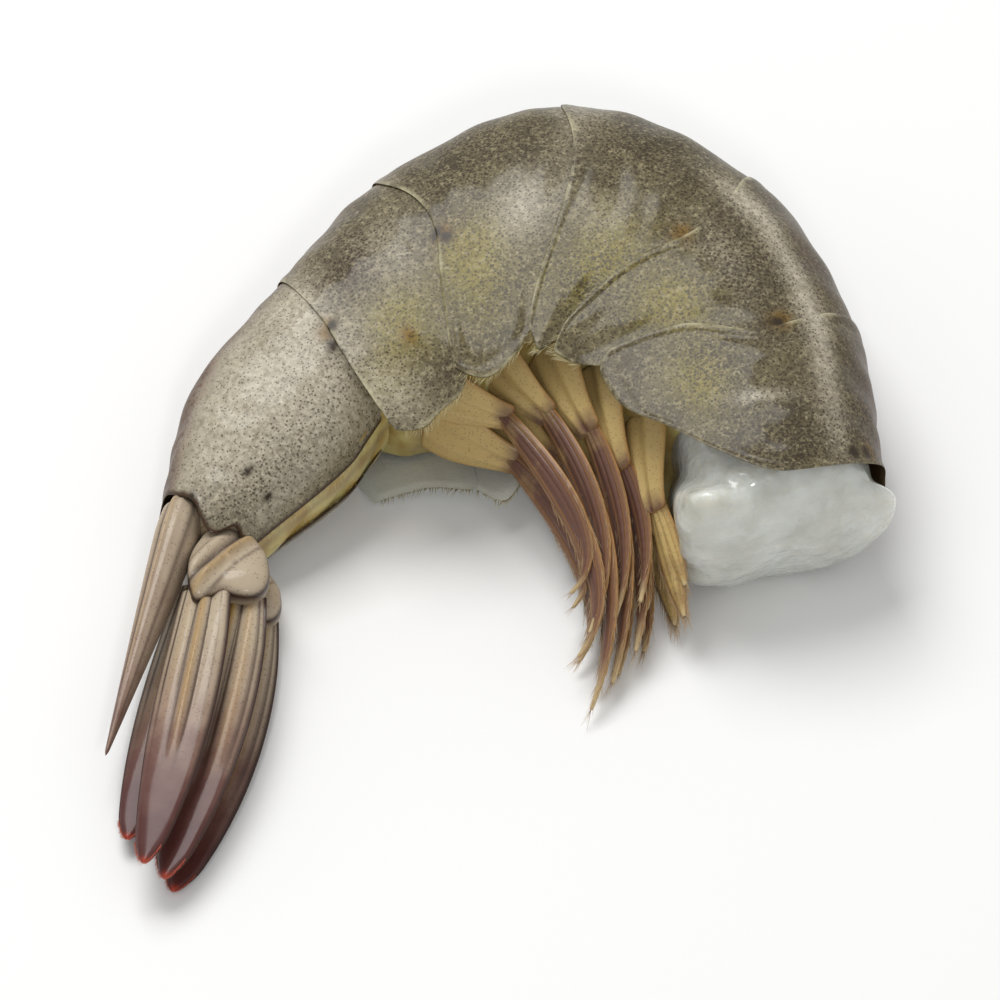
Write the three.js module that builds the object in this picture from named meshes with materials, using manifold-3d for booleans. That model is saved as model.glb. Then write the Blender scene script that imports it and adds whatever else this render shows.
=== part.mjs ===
// A raw white shrimp, headless and in its shell, lying curled on its left side.
// Millimetres, +Z up. The back is the outside of the curl, away from the viewer, the cut end is
// on the right and the tail fan points towards the viewer on the left.
//
// The body is a loft along the curl. Its upright cross-sections run from the back's edge to the
// belly's edge, both drawn in plan. Six overlapping shell plates wrap it, each reaching back over
// the next one's front, and hang as side flaps past the belly, where the swimmerets are rooted.
import * as THREE from 'three';
import { LoftGeometry } from 'three/addons/geometries/LoftGeometry.js';
import { mergeGeometries, mergeVertices } from 'three/addons/utils/BufferGeometryUtils.js';
import Module from 'manifold-3d';

const wasm = await Module();
wasm.setup();

// ---------------------------------------------------------------- driving dimensions
const SHELL = 0.5;          // a shell plate's thickness
const LAYER = 0.92;         // from a plate's outer face to that of the plate or the flesh under it
const CLEARANCE = 0.3;      // between neighbouring pieces along the body
const MIDDLE = [-1.39, 1.42];   // the plan's middle, which becomes the part's origin
const FLOOR_DIP = 0.35;     // the round flank would reach this far below the floor: it is flat there
const SQUARENESS = 2.25;    // exponent of the cross-section, 2 is an ellipse
const UNDERLAP = 2.0;       // length of a plate that hides under the plate ahead of it
const SWELL = 3.4;          // length over which a plate rises from under the plate ahead of it
const FLAP_TUCK = 0.13;     // how far a side flap draws in at the belly's edge, as a share
const TAIL_WRAP = 0.93;     // how far round the last plate reaches, 1 is the belly's midline

// Stations along the body: distance from the cut face, the back's and the belly's edge in plan,
// and half the body's thickness from side to side.
const BODY = [
  { at: 0, back: [26.0, -1.4], belly: [10.8, -4.6], half: 7.0 },
  { at: 5.5, back: [25.0, 4.2], belly: [9.8, 2.2], half: 7.5 },
  { at: 14, back: [23.4, 14.4], belly: [7.6, 8.6], half: 7.9 },
  { at: 22, back: [16.8, 26.2], belly: [4.8, 11.8], half: 8.1 },
  { at: 31, back: [3.2, 33.2], belly: [1.2, 12.8], half: 8.0 },
  { at: 40, back: [-9.7, 27.6], belly: [-3.5, 9.9], half: 7.2 },
  { at: 48, back: [-16.9, 19.1], belly: [-8.2, 8.2], half: 6.3 },
  { at: 56, back: [-23.0, 10.2], belly: [-11.7, 3.4], half: 5.4 },
  { at: 65, back: [-25.0, 1.5], belly: [-17.7, -1.5], half: 3.9 },
];

// Where the plates end along the body, at the back, the shoulder, the flank, low on the side and
// at the hem: the first plate's front margin, on the upper and the lower side of the shrimp, and
// each plate's rear margin. Side flaps hang past the belly's edge by `flaps`, at their front and
// rear on the upper side and then on the lower side; the last plate has none.
const FRONT_MARGINS = { upper: [3.4, 0.9, 0, 2.2, 5.6], lower: [3.4, 2.8, 3.4, 4.4, 6.2] };
const PLATES = [
  { name: 'shell_1', rear: [13.4, 12.4, 11.0, 13.2, 13.6], flaps: [2.6, 3.2, 2.6, 3.4] },
  { name: 'shell_2', rear: [22.2, 21.5, 19.9, 21.5, 22.6], flaps: [4.2, 4.8, 4.0, 5.0] },
  { name: 'shell_3', rear: [31.2, 31.0, 29.6, 30.2, 32.2], flaps: [5.0, 4.8, 5.0, 6.4] },
  { name: 'shell_4', rear: [40.6, 40.8, 39.4, 41.0, 43.2], flaps: [4.0, 3.6, 6.8, 7.2] },
  { name: 'shell_5', rear: [48.0, 48.8, 49.8, 51.4, 53.2], flaps: [3.8, 4.2, 6.4, 1.0] },
  { name: 'shell_6', rear: [64.4, 65.0, 66.8, 66.6, 66.0] },
];
const PLATE_COLUMNS = 24;
const PLATE_ROWS = 7;

// ---------------------------------------------------------------- the body's surface
const mix = (a, b, t) => a + (b - a) * t;
const smooth = (a, b, x) => THREE.MathUtils.smoothstep(x, a, b);

// Smooth curve through points, with slopes from their neighbours, which runs on straight.
function curve(xs, ys) {
  const last = xs.length - 1;
  const rise = (i) => (ys[i + 1] - ys[i]) / (xs[i + 1] - xs[i]);
  const slope = (i) => {
    if (i === 0) return rise(0);
    if (i === last) return rise(last - 1);
    return (rise(i - 1) + rise(i)) / 2;
  };
  return (x) => {
    if (x <= xs[0]) return ys[0] + (x - xs[0]) * slope(0);
    if (x >= xs[last]) return ys[last] + (x - xs[last]) * slope(last);
    const i = xs.findIndex((next) => next > x) - 1;
    const span = xs[i + 1] - xs[i];
    const t = (x - xs[i]) / span;
    const hermite = (2 * t - 3) * t * t;
    return ys[i] * (1 + hermite) - ys[i + 1] * hermite
      + span * (slope(i) * t * (1 - t) ** 2 - slope(i + 1) * t * t * (1 - t));
  };
}

const alongBody = (measure) => curve(BODY.map((station) => station.at), BODY.map(measure));
const backX = alongBody((s) => s.back[0]);
const backY = alongBody((s) => s.back[1]);
const bellyX = alongBody((s) => s.belly[0]);
const bellyY = alongBody((s) => s.belly[1]);
const halfAt = alongBody((s) => s.half);

function section(at) {
  const back = new THREE.Vector2(backX(at), backY(at));
  const belly = new THREE.Vector2(bellyX(at), bellyY(at));
  return {
    centre: back.clone().add(belly).multiplyScalar(0.5),
    up: back.clone().sub(belly).normalize(),
    deep: back.distanceTo(belly) / 2,
    wide: halfAt(at),
  };
}

// A point of a section, given towards the back and to the side of its centre.
function place({ centre, up, wide }, towardsBack, side) {
  return new THREE.Vector3(
    centre.x + up.x * towardsBack,
    centre.y + up.y * towardsBack,
    Math.max(0, wide - FLOOR_DIP + side),
  );
}

const rounded = (wave) => Math.sign(wave) * Math.abs(wave) ** (2 / SQUARENESS);

// The round of the body: turn 0 is the back's midline, 0.5 and -0.5 the flanks, 1 the belly.
function onRound(at, turn, inset, scale = 1) {
  const s = section(at);
  return place(
    s,
    (s.deep - inset) * scale * rounded(Math.cos(turn * Math.PI)),
    (s.wide - inset) * scale * rounded(Math.sin(turn * Math.PI)),
  );
}

// A side flap: down from the flank at turn 0.5 to its hem at turn 1, `drop` below the centre.
function onFlap(at, turn, inset, drop) {
  const s = section(at);
  const down = drop * (Math.abs(turn) - 0.5) * 2;
  const side = (s.wide - inset) * (1 - FLAP_TUCK * (down / s.deep) ** 2);
  return place(s, -down, Math.sign(turn) * side);
}

// ---------------------------------------------------------------- closed solids
const withIndex = (geometry, index) => new THREE.BufferGeometry()
  .setAttribute('position', geometry.attributes.position)
  .setIndex(index);

function volume(geometry) {
  const { position } = geometry.attributes;
  const [a, b, c] = [new THREE.Vector3(), new THREE.Vector3(), new THREE.Vector3()];
  let sum = 0;
  for (let i = 0; i < geometry.index.count; i += 3) {
    a.fromBufferAttribute(position, geometry.index.getX(i));
    b.fromBufferAttribute(position, geometry.index.getX(i + 1));
    c.fromBufferAttribute(position, geometry.index.getX(i + 2));
    sum += a.dot(b.cross(c)) / 6;
  }
  return sum;
}

function flipped(geometry) {
  const corners = Array.from(geometry.index.array);
  for (let i = 0; i < corners.length; i += 3) {
    [corners[i], corners[i + 1]] = [corners[i + 1], corners[i]];
  }
  return withIndex(geometry, corners);
}

// Merges shared vertices, drops collapsed triangles and turns the faces outwards.
function solid(geometry) {
  const merged = mergeVertices(withIndex(geometry, geometry.index), 1e-3);
  const corners = merged.index.array;
  const kept = [];
  for (let i = 0; i < corners.length; i += 3) {
    const [a, b, c] = corners.subarray(i, i + 3);
    if (a !== b && b !== c && c !== a) kept.push(a, b, c);
  }
  merged.setIndex(kept);
  return volume(merged) < 0 ? flipped(merged) : merged;
}

// A thin sheet from the rows of points of its two faces, which are split into triangles alike.
function sheet(outer, inner) {
  const border = (rows) => [
    ...rows[0],
    ...rows.slice(1, -1).map((row) => row.at(-1)),
    ...rows.at(-1).toReversed(),
    ...rows.slice(1, -1).map((row) => row[0]).toReversed(),
  ];
  const rows = (points, options) => {
    const loft = new LoftGeometry(points, options);
    return withIndex(loft, loft.index);
  };
  return solid(mergeGeometries([
    rows(outer, { closed: false }),
    flipped(rows(inner, { closed: false })),
    rows([border(inner), border(outer)], { closed: true }),
  ]));
}

// A round form lofted through closed rings of points.
function roundForm(rings) {
  return solid(new LoftGeometry(rings, { closed: true, capStart: true, capEnd: true }));
}

function toManifold(geometry) {
  return new wasm.Manifold(new wasm.Mesh({
    numProp: 3,
    vertProperties: geometry.attributes.position.array,
    triVerts: new Uint32Array(geometry.index.array),
  }));
}

// Joins closed geometries into one.
function fuse(geometries) {
  const joined = geometries.map(toManifold).reduce((whole, piece) => whole.add(piece));
  const { vertProperties, triVerts } = joined.simplify(0.01).getMesh();
  return new THREE.BufferGeometry()
    .setAttribute('position', new THREE.BufferAttribute(vertProperties, 3))
    .setIndex(new THREE.BufferAttribute(triVerts, 1));
}

// ---------------------------------------------------------------- materials
const finish = (color, roughness) => new THREE.MeshStandardMaterial({ color, roughness, metalness: 0 });
const FINISHES = {
  flesh: finish(0xc9cbc2, 0.3),
  shell: finish(0x9a917c, 0.35),
  tail: finish(0x9c8468, 0.35),
  swimmeret: finish(0x8a6b52, 0.45),
};

function mesh(name, geometry, material) {
  const made = new THREE.Mesh(geometry, material);
  made.name = name;
  return made;
}

// ---------------------------------------------------------------- shell plates
const margin = (ends) => curve([0, 0.25, 0.5, 0.75, 1], ends);
const frontMargins = { upper: margin(FRONT_MARGINS.upper), lower: margin(FRONT_MARGINS.lower) };
const frontMargin = (turn) => frontMargins[turn > 0 ? 'upper' : 'lower'](Math.abs(turn));
const rearMargins = PLATES.map(({ rear }) => {
  const line = margin(rear);
  return (turn) => line(Math.abs(turn));
});

// How far a plate's outer face lies below the body's skin: it starts under the plate ahead.
function sunk(index, at, turn) {
  if (index === 0) return 0;
  const past = at - rearMargins[index - 1](turn);
  return LAYER * (1 - smooth(CLEARANCE, SWELL, past));
}

// A side flap's length below the section's centre: a lobe, shorter at its two corners.
function flapDrop({ flaps }, at, turn, share) {
  const [front, rear] = turn > 0 ? flaps : flaps.slice(2);
  const { deep } = section(at);
  const lobe = 1 - 0.42 * Math.abs(2 * share - 1) ** 3.2;
  return deep * 0.9 + (deep * 0.1 + mix(front, rear, share)) * lobe;
}

function shellPlate(index) {
  const plate = PLATES[index];
  const point = (turn, share, depth) => {
    const front = index === 0 ? frontMargin(turn) : rearMargins[index - 1](turn) - UNDERLAP;
    const at = mix(front, rearMargins[index](turn), share);
    const inset = sunk(index, at, turn) + depth;
    return plate.flaps && Math.abs(turn) > 0.5
      ? onFlap(at, turn, inset, flapDrop(plate, at, turn, share))
      : onRound(at, turn, inset);
  };
  const reach = plate.flaps ? 1 : TAIL_WRAP;
  const face = (depth) => Array.from({ length: PLATE_ROWS + 1 }, (_, row) => (
    Array.from({ length: PLATE_COLUMNS + 1 }, (__, column) => (
      point(((column / PLATE_COLUMNS) * 2 - 1) * reach, row / PLATE_ROWS, depth)
    ))
  ));
  return mesh(plate.name, sheet(face(0), face(SHELL)), FINISHES.shell);
}

// ---------------------------------------------------------------- flesh
// The cut end lies obliquely: where it is on the upper side from the back to the belly, and then
// on the lower side.
const CUT = { upper: [-0.4, -0.4, -0.8, -1.4, -1.6], lower: [-0.4, 0.5, 0.9, -0.9, -1.6] };
const FLESH = {
  tailEnd: 61,
  inset: 2 * LAYER,
  bare: -0.1,         // below the skin where no plate covers it
  bulge: 2.4,         // length over which the cut end rounds off
  rings: 30,
  points: 24,
};

// Two muscles meet at the cut, so its outline is lobed.
const lobes = (turn) => 0.03 * Math.sin(3 * turn * Math.PI + 0.8) + 0.025 * Math.sin(5 * turn * Math.PI + 2);

const cuts = { upper: margin(CUT.upper), lower: margin(CUT.lower) };
const cutAt = (turn) => cuts[turn > 0 ? 'upper' : 'lower'](Math.abs(turn));

function fleshPoint(turn, share) {
  const at = mix(cutAt(turn), FLESH.tailEnd, share);
  const bare = 1 - smooth(-2.2, -0.3, at - frontMargin(turn));
  const past = Math.max(0, 1 - (at - cutAt(turn)) / FLESH.bulge) * 0.99;
  const dome = Math.sqrt(1 - past ** 2.4);
  return onRound(at, turn, mix(FLESH.inset, FLESH.bare, bare), dome * (1 + bare * lobes(turn)));
}

function flesh() {
  const rings = Array.from({ length: FLESH.rings + 1 }, (_, ring) => (
    Array.from({ length: FLESH.points }, (__, i) => (
      fleshPoint(1 - (i / FLESH.points) * 2, (ring / FLESH.rings) ** 1.5)
    ))
  ));
  return mesh('flesh', roundForm(rings), FINISHES.flesh);
}

// ---------------------------------------------------------------- blades
// A blade is a thin leaf that bends from its root past a middle point to its tip, with a rib down
// its middle. `side` points across it and `outline` gives its half width along it as a share.
function blade({ root, middle, tip, side, width, rib, edge, outline, columns = 8, rows = 10 }) {
  const start = new THREE.Vector3(...root);
  const end = new THREE.Vector3(...tip);
  const halfway = start.clone().lerp(end, 0.5);
  const pull = new THREE.Vector3(...middle).multiplyScalar(2).sub(halfway);
  const path = new THREE.QuadraticBezierCurve3(start, pull, end);
  const face = (sign) => {
    const grid = [];
    for (let row = 0; row <= rows; row += 1) {
      const share = row / rows;
      const along = path.getTangent(share);
      const across = new THREE.Vector3(...side);
      across.addScaledVector(along, -across.dot(along)).normalize();
      const normal = new THREE.Vector3().crossVectors(along, across);
      const points = [];
      for (let column = 0; column <= columns; column += 1) {
        const over = (column / columns) * 2 - 1;
        const thick = mix(edge, rib, (1 - Math.abs(over)) ** 1.5) / 2;
        const point = path.getPoint(share)
          .addScaledVector(across, over * width / 2 * outline(share))
          .addScaledVector(normal, sign * thick);
        point.z = Math.max(0, point.z);
        points.push(point);
      }
      grid.push(points);
    }
    return grid;
  };
  return sheet(face(1), face(-1));
}

const paddle = (share) => Math.sin(Math.PI * (0.12 + 0.86 * share)) ** 0.6;

// The tail fan is folded: the blades of the upper side lie over those of the lower side.
const FAN = {
  uropod_inner_upper: { root: [-21.6, -8.6, 5.7], middle: [-23.4, -19.0, 5.5], tip: [-25.9, -29.9, 3.9], side: [1, 0, 0.25], width: 4.2 },
  uropod_outer_upper: { root: [-19.6, -8.2, 4.5], middle: [-21.4, -18.6, 4.0], tip: [-24.5, -30.2, 2.6], side: [1, 0, 0.25], width: 5.0 },
  uropod_inner_lower: { root: [-21.4, -7.4, 2.3], middle: [-24.6, -16.2, 2.1], tip: [-27.1, -25.8, 1.5], side: [1, 0, 0.1], width: 4.4 },
  uropod_outer_lower: { root: [-18.3, -7.4, 1.4], middle: [-20.6, -18.0, 1.0], tip: [-23.9, -29.6, 0.5], side: [1, 0, 0.1], width: 5.0 },
};
const BLADE = { rib: 0.8, edge: 0.35, outline: paddle };

// The telson, the fan's spike, is deep at its root and ends in a point.
const TELSON = { root: [-23.3, -1.0, 4.6], tip: [-28.6, -20.4, 3.8], wide: 4.8, deep: 2.4, rings: 10, points: 12 };

function telson() {
  const start = new THREE.Vector3(...TELSON.root);
  const end = new THREE.Vector3(...TELSON.tip);
  const deepways = new THREE.Vector3(0, 0, 1).cross(end.clone().sub(start)).normalize();
  const rings = [];
  for (let i = 0; i <= TELSON.rings; i += 1) {
    const share = i / TELSON.rings;
    const taper = 1 - 0.94 * share ** 1.15;
    const ring = [];
    for (let j = 0; j < TELSON.points; j += 1) {
      const turn = (j / TELSON.points) * 2 * Math.PI;
      const point = start.clone().lerp(end, share)
        .addScaledVector(deepways, Math.cos(turn) * TELSON.deep / 2 * taper);
      point.z += Math.sin(turn) * TELSON.wide / 2 * taper;
      ring.push(point);
    }
    rings.push(ring);
  }
  return mesh('telson', roundForm(rings), FINISHES.tail);
}

// The stalk that carries a side's two blades.
function stalk(name, centre, size) {
  const geometry = new THREE.SphereGeometry(1, 14, 10)
    .scale(size[0] / 2, size[1] / 2, size[2] / 2)
    .rotateZ(-0.2)
    .translate(...centre);
  return mesh(name, solid(geometry), FINISHES.tail);
}

function tailFan() {
  const group = new THREE.Group();
  group.add(telson());
  for (const [name, spec] of Object.entries(FAN)) {
    group.add(mesh(name, blade({ ...BLADE, ...spec }), FINISHES.tail));
  }
  group.add(stalk('stalk_upper', [-20.0, -5.2, 5.0], [5.2, 6.0, 2.2]));
  group.add(stalk('stalk_lower', [-19.0, -4.9, 2.0], [5.0, 5.0, 2.0]));
  return group;
}

// ---------------------------------------------------------------- swimmerets
// A swimmeret is a flat limb rooted at the belly, which carries a long and a short blade.
const SWIMMERETS = {
  swimmeret_1_upper: { root: [8.8, 3.8, 8.8], knee: [9.4, -1.3, 7.0], middle: [10.6, -4.6, 4.6], tip: [11.4, -7.4, 3.2] },
  swimmeret_2_upper: { root: [5.6, 7.8, 9.4], knee: [7.1, 1.8, 7.8], middle: [8.4, -3.0, 4.9], tip: [8.0, -9.6, 2.0] },
  swimmeret_3_upper: { root: [2.7, 9.4, 9.8], knee: [5.0, 4.6, 8.6], middle: [7.1, -3.2, 5.1], tip: [6.4, -12.0, 1.5] },
  swimmeret_4_upper: { root: [-1.2, 9.8, 9.4], knee: [2.2, 6.4, 8.2], middle: [5.9, -4.0, 5.3], tip: [4.9, -14.0, 1.0] },
  swimmeret_5_upper: { root: [-5.0, 8.2, 8.8], knee: [-0.4, 6.7, 7.7], middle: [4.8, -4.0, 5.6], tip: [4.0, -10.4, 2.4] },
  swimmeret_1_lower: { root: [8.0, 3.4, 4.8], knee: [9.2, -0.8, 3.9], middle: [10.2, -3.8, 2.2], tip: [10.8, -6.4, 1.0] },
  swimmeret_2_lower: { root: [5.2, 7.2, 5.2], knee: [7.0, 1.8, 4.4], middle: [8.5, -3.4, 2.3], tip: [8.6, -8.6, 0.8] },
  swimmeret_3_lower: { root: [2.4, 8.8, 5.2], knee: [5.2, 3.8, 4.8], middle: [7.1, -3.4, 2.5], tip: [6.8, -10.6, 0.7] },
  swimmeret_4_lower: { root: [-0.8, 9.2, 5.2], knee: [2.5, 5.2, 4.4], middle: [5.7, -3.6, 2.8], tip: [5.4, -12.0, 0.7] },
  swimmeret_5_lower: { root: [-4.6, 7.8, 5.2], knee: [0.1, 5.6, 4.2], middle: [4.5, -3.2, 3.0], tip: [4.1, -9.6, 1.0] },
};
const LIMB = { width: 2.5, thick: 1.0, rings: 5, points: 10 };
const RAMUS = { width: 1.9, rib: 0.5, edge: 0.3, outline: paddle, columns: 4, rows: 7 };
const SWIMMERET_SIDE = new THREE.Vector3(0.6, 0, 0.8);   // across the limbs and their blades

function limb(root, knee) {
  const start = new THREE.Vector3(...root);
  const end = new THREE.Vector3(...knee);
  const along = end.clone().sub(start).normalize();
  const across = SWIMMERET_SIDE.clone();
  across.addScaledVector(along, -across.dot(along)).normalize();
  const normal = new THREE.Vector3().crossVectors(along, across);
  const rings = [];
  for (let i = 0; i <= LIMB.rings; i += 1) {
    const share = i / LIMB.rings;
    const swell = Math.sin(Math.PI * (0.2 + 0.66 * share)) ** 0.5;
    const ring = [];
    for (let j = 0; j < LIMB.points; j += 1) {
      const turn = (j / LIMB.points) * 2 * Math.PI;
      ring.push(start.clone().lerp(end, share)
        .addScaledVector(across, Math.cos(turn) * LIMB.width / 2 * swell)
        .addScaledVector(normal, Math.sin(turn) * LIMB.thick / 2 * swell));
    }
    rings.push(ring);
  }
  return roundForm(rings);
}

function swimmeret(name, { root, knee, middle, tip }) {
  const ramus = blade({ ...RAMUS, root: knee, middle, tip, side: SWIMMERET_SIDE.toArray() });
  return mesh(name, fuse([limb(root, knee), ramus]), FINISHES.swimmeret);
}

// ---------------------------------------------------------------- the whole shrimp
const shrimp = new THREE.Group();
shrimp.position.set(-MIDDLE[0], -MIDDLE[1], 0);
shrimp.add(flesh());
PLATES.forEach((_, index) => shrimp.add(shellPlate(index)));
shrimp.add(tailFan());
Object.entries(SWIMMERETS).forEach(([name, spec]) => shrimp.add(swimmeret(name, spec)));

export default shrimp;
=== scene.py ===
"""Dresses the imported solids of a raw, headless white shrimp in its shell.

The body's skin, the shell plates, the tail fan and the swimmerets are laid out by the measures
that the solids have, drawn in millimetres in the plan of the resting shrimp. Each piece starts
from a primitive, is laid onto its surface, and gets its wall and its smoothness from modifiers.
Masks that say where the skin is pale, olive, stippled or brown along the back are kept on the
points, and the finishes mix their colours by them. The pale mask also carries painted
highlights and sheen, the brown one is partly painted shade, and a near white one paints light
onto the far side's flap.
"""

import logging
import math
import random
from collections.abc import Iterable, Sequence
from dataclasses import dataclass, field
from enum import Enum
from typing import ClassVar

import bpy
import numpy as np
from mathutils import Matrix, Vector


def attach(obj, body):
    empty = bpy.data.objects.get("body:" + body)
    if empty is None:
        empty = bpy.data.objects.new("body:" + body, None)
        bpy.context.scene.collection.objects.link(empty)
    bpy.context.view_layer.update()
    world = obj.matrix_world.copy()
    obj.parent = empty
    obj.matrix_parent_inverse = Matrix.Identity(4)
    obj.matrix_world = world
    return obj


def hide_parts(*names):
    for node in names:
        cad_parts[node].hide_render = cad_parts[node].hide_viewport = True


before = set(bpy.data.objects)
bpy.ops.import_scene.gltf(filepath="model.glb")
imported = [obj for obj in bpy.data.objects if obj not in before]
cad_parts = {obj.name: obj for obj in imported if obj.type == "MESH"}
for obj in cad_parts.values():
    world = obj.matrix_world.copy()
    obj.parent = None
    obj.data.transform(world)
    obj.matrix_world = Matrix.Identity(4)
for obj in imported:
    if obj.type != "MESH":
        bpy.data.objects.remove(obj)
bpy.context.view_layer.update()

MM = 0.001  # the shrimp is drawn in millimetres and built in metres
MIDDLE = (-1.39, 1.42)  # the drawing's point that lies at the origin
BODY = "root"
LOG = logging.getLogger("shrimp")

Points = np.ndarray
Place = tuple[float, float, float]
Masks = dict[str, Points | float]


class Slot(Enum):
    """The record's material slots."""

    FLESH = "flesh"
    SHELL = "shell"
    TAIL = "tail"
    SWIMMERET = "swimmeret"


class Side(Enum):
    """The shrimp lies on its left side, so its right side is the upper one."""

    UPPER = 1
    LOWER = -1


# ---------------------------------------------------------------- numbers
def mix(a: Points, b: Points, share: Points) -> Points:
    """Returns the value a share of the way from a to b."""
    return a + (b - a) * share


def smooth(low: float, high: float, value: Points) -> Points:
    """Returns 0 up to low, 1 from high on, and a soft step between them."""
    share = np.clip((value - low) / (high - low), 0, 1)
    return share * share * (3 - 2 * share)


def bell(distance: Points, width: float) -> Points:
    """Returns 1 at no distance, falling off softly over the width."""
    return np.exp(-((distance / width) ** 2))


def closing(past: Points, least: float = 0.0) -> Points:
    """Returns the quarter circle that closes an end: 1 before it, and the least where past is 1."""
    return np.sqrt(np.clip(1 - np.clip(past, 0, 1) ** 2, least, 1))


def metres(points: Points) -> Points:
    """Returns drawn millimetres as metres in the row frame."""
    return (points - np.array([*MIDDLE, 0.0])) * MM


def unit(vectors: Points) -> Points:
    """Returns vectors at length 1."""
    return vectors / np.maximum(np.linalg.norm(vectors, axis=-1, keepdims=True), 1e-9)


class Curve:
    """A smooth curve through points, which runs on straight past its ends."""

    def __init__(self, xs: Sequence[float], ys: Sequence[float]) -> None:
        """Works out the slopes at the points.

        Args:
            xs: Places of the points, rising.
            ys: Heights of the points.
        """
        self.xs, self.ys = np.array(xs, float), np.array(ys, float)
        rises = np.diff(self.ys) / np.diff(self.xs)
        self.slopes = np.concatenate([[rises[0]], (rises[1:] + rises[:-1]) / 2, [rises[-1]]])

    def __call__(self, x: Points) -> Points:
        """Returns the curve's heights.

        Args:
            x: Places along it.

        Returns:
            The height at each place.
        """
        x = np.asarray(x, float)
        i = np.clip(np.searchsorted(self.xs, x, side="right") - 1, 0, len(self.xs) - 2)
        span = self.xs[i + 1] - self.xs[i]
        t = np.clip((x - self.xs[i]) / span, 0, 1)
        hermite = (2 * t - 3) * t * t
        inside = (
            self.ys[i] * (1 + hermite)
            - self.ys[i + 1] * hermite
            + span * (self.slopes[i] * t * (1 - t) ** 2 - self.slopes[i + 1] * t * t * (1 - t))
        )
        before = np.minimum(x - self.xs[0], 0) * self.slopes[0]
        after = np.maximum(x - self.xs[-1], 0) * self.slopes[-1]
        return inside + before + after


# ---------------------------------------------------------------- the body's form
@dataclass(frozen=True)
class Station:
    """A place along the body: its back's and belly's edge in plan, and half its thickness."""

    at: float
    back: tuple[float, float]
    belly: tuple[float, float]
    half: float


@dataclass(frozen=True)
class Patch:
    """A soft patch on the skin: its middle, its reach along and around, and its strength."""

    at: float
    turn: float
    long: float
    wide: float
    strength: float


@dataclass
class BodyForm:
    """The skin of the body, which every plate and the flesh follow."""

    stations: tuple[Station, ...] = (
        Station(0, (26.0, -1.4), (10.8, -4.6), 7.0),
        Station(5.5, (25.0, 4.2), (9.8, 2.2), 7.5),
        Station(14, (23.4, 14.4), (7.6, 8.6), 7.9),
        Station(22, (16.8, 26.2), (4.8, 11.8), 8.1),
        Station(31, (3.2, 33.2), (1.2, 12.8), 8.0),
        Station(40, (-9.7, 27.6), (-3.5, 9.9), 7.2),
        Station(48, (-16.9, 19.1), (-8.2, 8.2), 6.3),
        Station(56, (-23.0, 10.2), (-11.7, 3.4), 5.4),
        Station(65, (-25.0, 1.5), (-17.7, -1.5), 3.9),
    )
    floor_dip: float = 0.35  # the round flank is flat where it would reach below the floor
    squareness: float = 2.25
    flap_tuck: float = 0.13
    curves: dict[str, Curve] = field(default_factory=dict)

    def __post_init__(self) -> None:
        """Draws the curves through the stations."""
        places = [s.at for s in self.stations]
        measures = {
            "back_x": [s.back[0] for s in self.stations],
            "back_y": [s.back[1] for s in self.stations],
            "belly_x": [s.belly[0] for s in self.stations],
            "belly_y": [s.belly[1] for s in self.stations],
            "half": [s.half for s in self.stations],
        }
        self.curves = {name: Curve(places, values) for name, values in measures.items()}

    def section(self, at: Points) -> tuple[Points, Points, Points, Points]:
        """Measures the cross-sections.

        Args:
            at: Distances from the cut along the body.

        Returns:
            The centres and the directions to the back in plan, and the half depths and widths.
        """
        c = self.curves
        back = np.stack([c["back_x"](at), c["back_y"](at)], -1)
        belly = np.stack([c["belly_x"](at), c["belly_y"](at)], -1)
        deep = np.linalg.norm(back - belly, axis=-1) / 2
        return (back + belly) / 2, (back - belly) / (2 * deep[..., None]), deep, c["half"](at)

    def place(self, at: Points, to_back: Points, side: Points) -> Points:
        """Returns points of sections, given towards the back and to the side of their centres."""
        centre, up, _, wide = self.section(at)
        height = np.maximum(0, wide - self.floor_dip + side)
        return np.concatenate([centre + up * to_back[..., None], height[..., None]], -1)

    def rounded(self, wave: Points) -> Points:
        """Returns a sine or cosine with the squareness of the cross-section."""
        return np.sign(wave) * np.abs(wave) ** (2 / self.squareness)

    def on_round(self, at: Points, turn: Points, inset: Points, scale: Points = 1.0) -> Points:
        """Finds points of the round: turn 0 is the back, half a turn the flank, 1 the belly."""
        _, _, deep, wide = self.section(at)
        return self.place(
            at,
            (deep - inset) * scale * self.rounded(np.cos(turn * np.pi)),
            (wide - inset) * scale * self.rounded(np.sin(turn * np.pi)),
        )

    def on_flap(self, at: Points, turn: Points, inset: Points, drop: Points) -> Points:
        """Finds points of a side flap, which hangs by its drop below the section's centre."""
        _, _, deep, wide = self.section(at)
        down = drop * (np.abs(turn) - 0.5) * 2
        side = (wide - inset) * (1 - self.flap_tuck * (down / deep) ** 2)
        return self.place(at, -down, np.sign(turn) * side)


QUARTERS = (0, 0.25, 0.5, 0.75, 1)  # turns of the back, shoulder, flank, low side and hem
TURN_REACH = 25.0  # millimetres round the body in one unit of turn, for the patches


def margin(upper: Sequence[float], lower: Sequence[float], turn: Points) -> Points:
    """Reads a margin's places along the body.

    Args:
        upper: Its places at the quarters of the upper side.
        lower: Its places at the quarters of the lower side.
        turn: Turns round the body.

    Returns:
        The margin's place at each turn.
    """
    around = np.abs(turn)
    return np.where(turn > 0, Curve(QUARTERS, upper)(around), Curve(QUARTERS, lower)(around))


def patches(*rows: tuple[float, float, float, float, float]) -> tuple[Patch, ...]:
    """Returns patches from their measures."""
    return tuple(Patch(*row) for row in rows)


def patched(soft: Iterable[Patch], at: Points, turn: Points) -> Points:
    """Adds up soft patches.

    Args:
        soft: The patches, alike on both sides of the body.
        at: Distances along the body.
        turn: Turns round it.

    Returns:
        A mask from 0 to 1.
    """
    total = np.zeros_like(at)
    for patch in soft:
        reach = np.hypot((at - patch.at) / patch.long, (np.abs(turn) - patch.turn) / patch.wide)
        total = total + patch.strength * bell(reach, 1.0)
    return np.clip(total, 0, 1)


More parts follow.
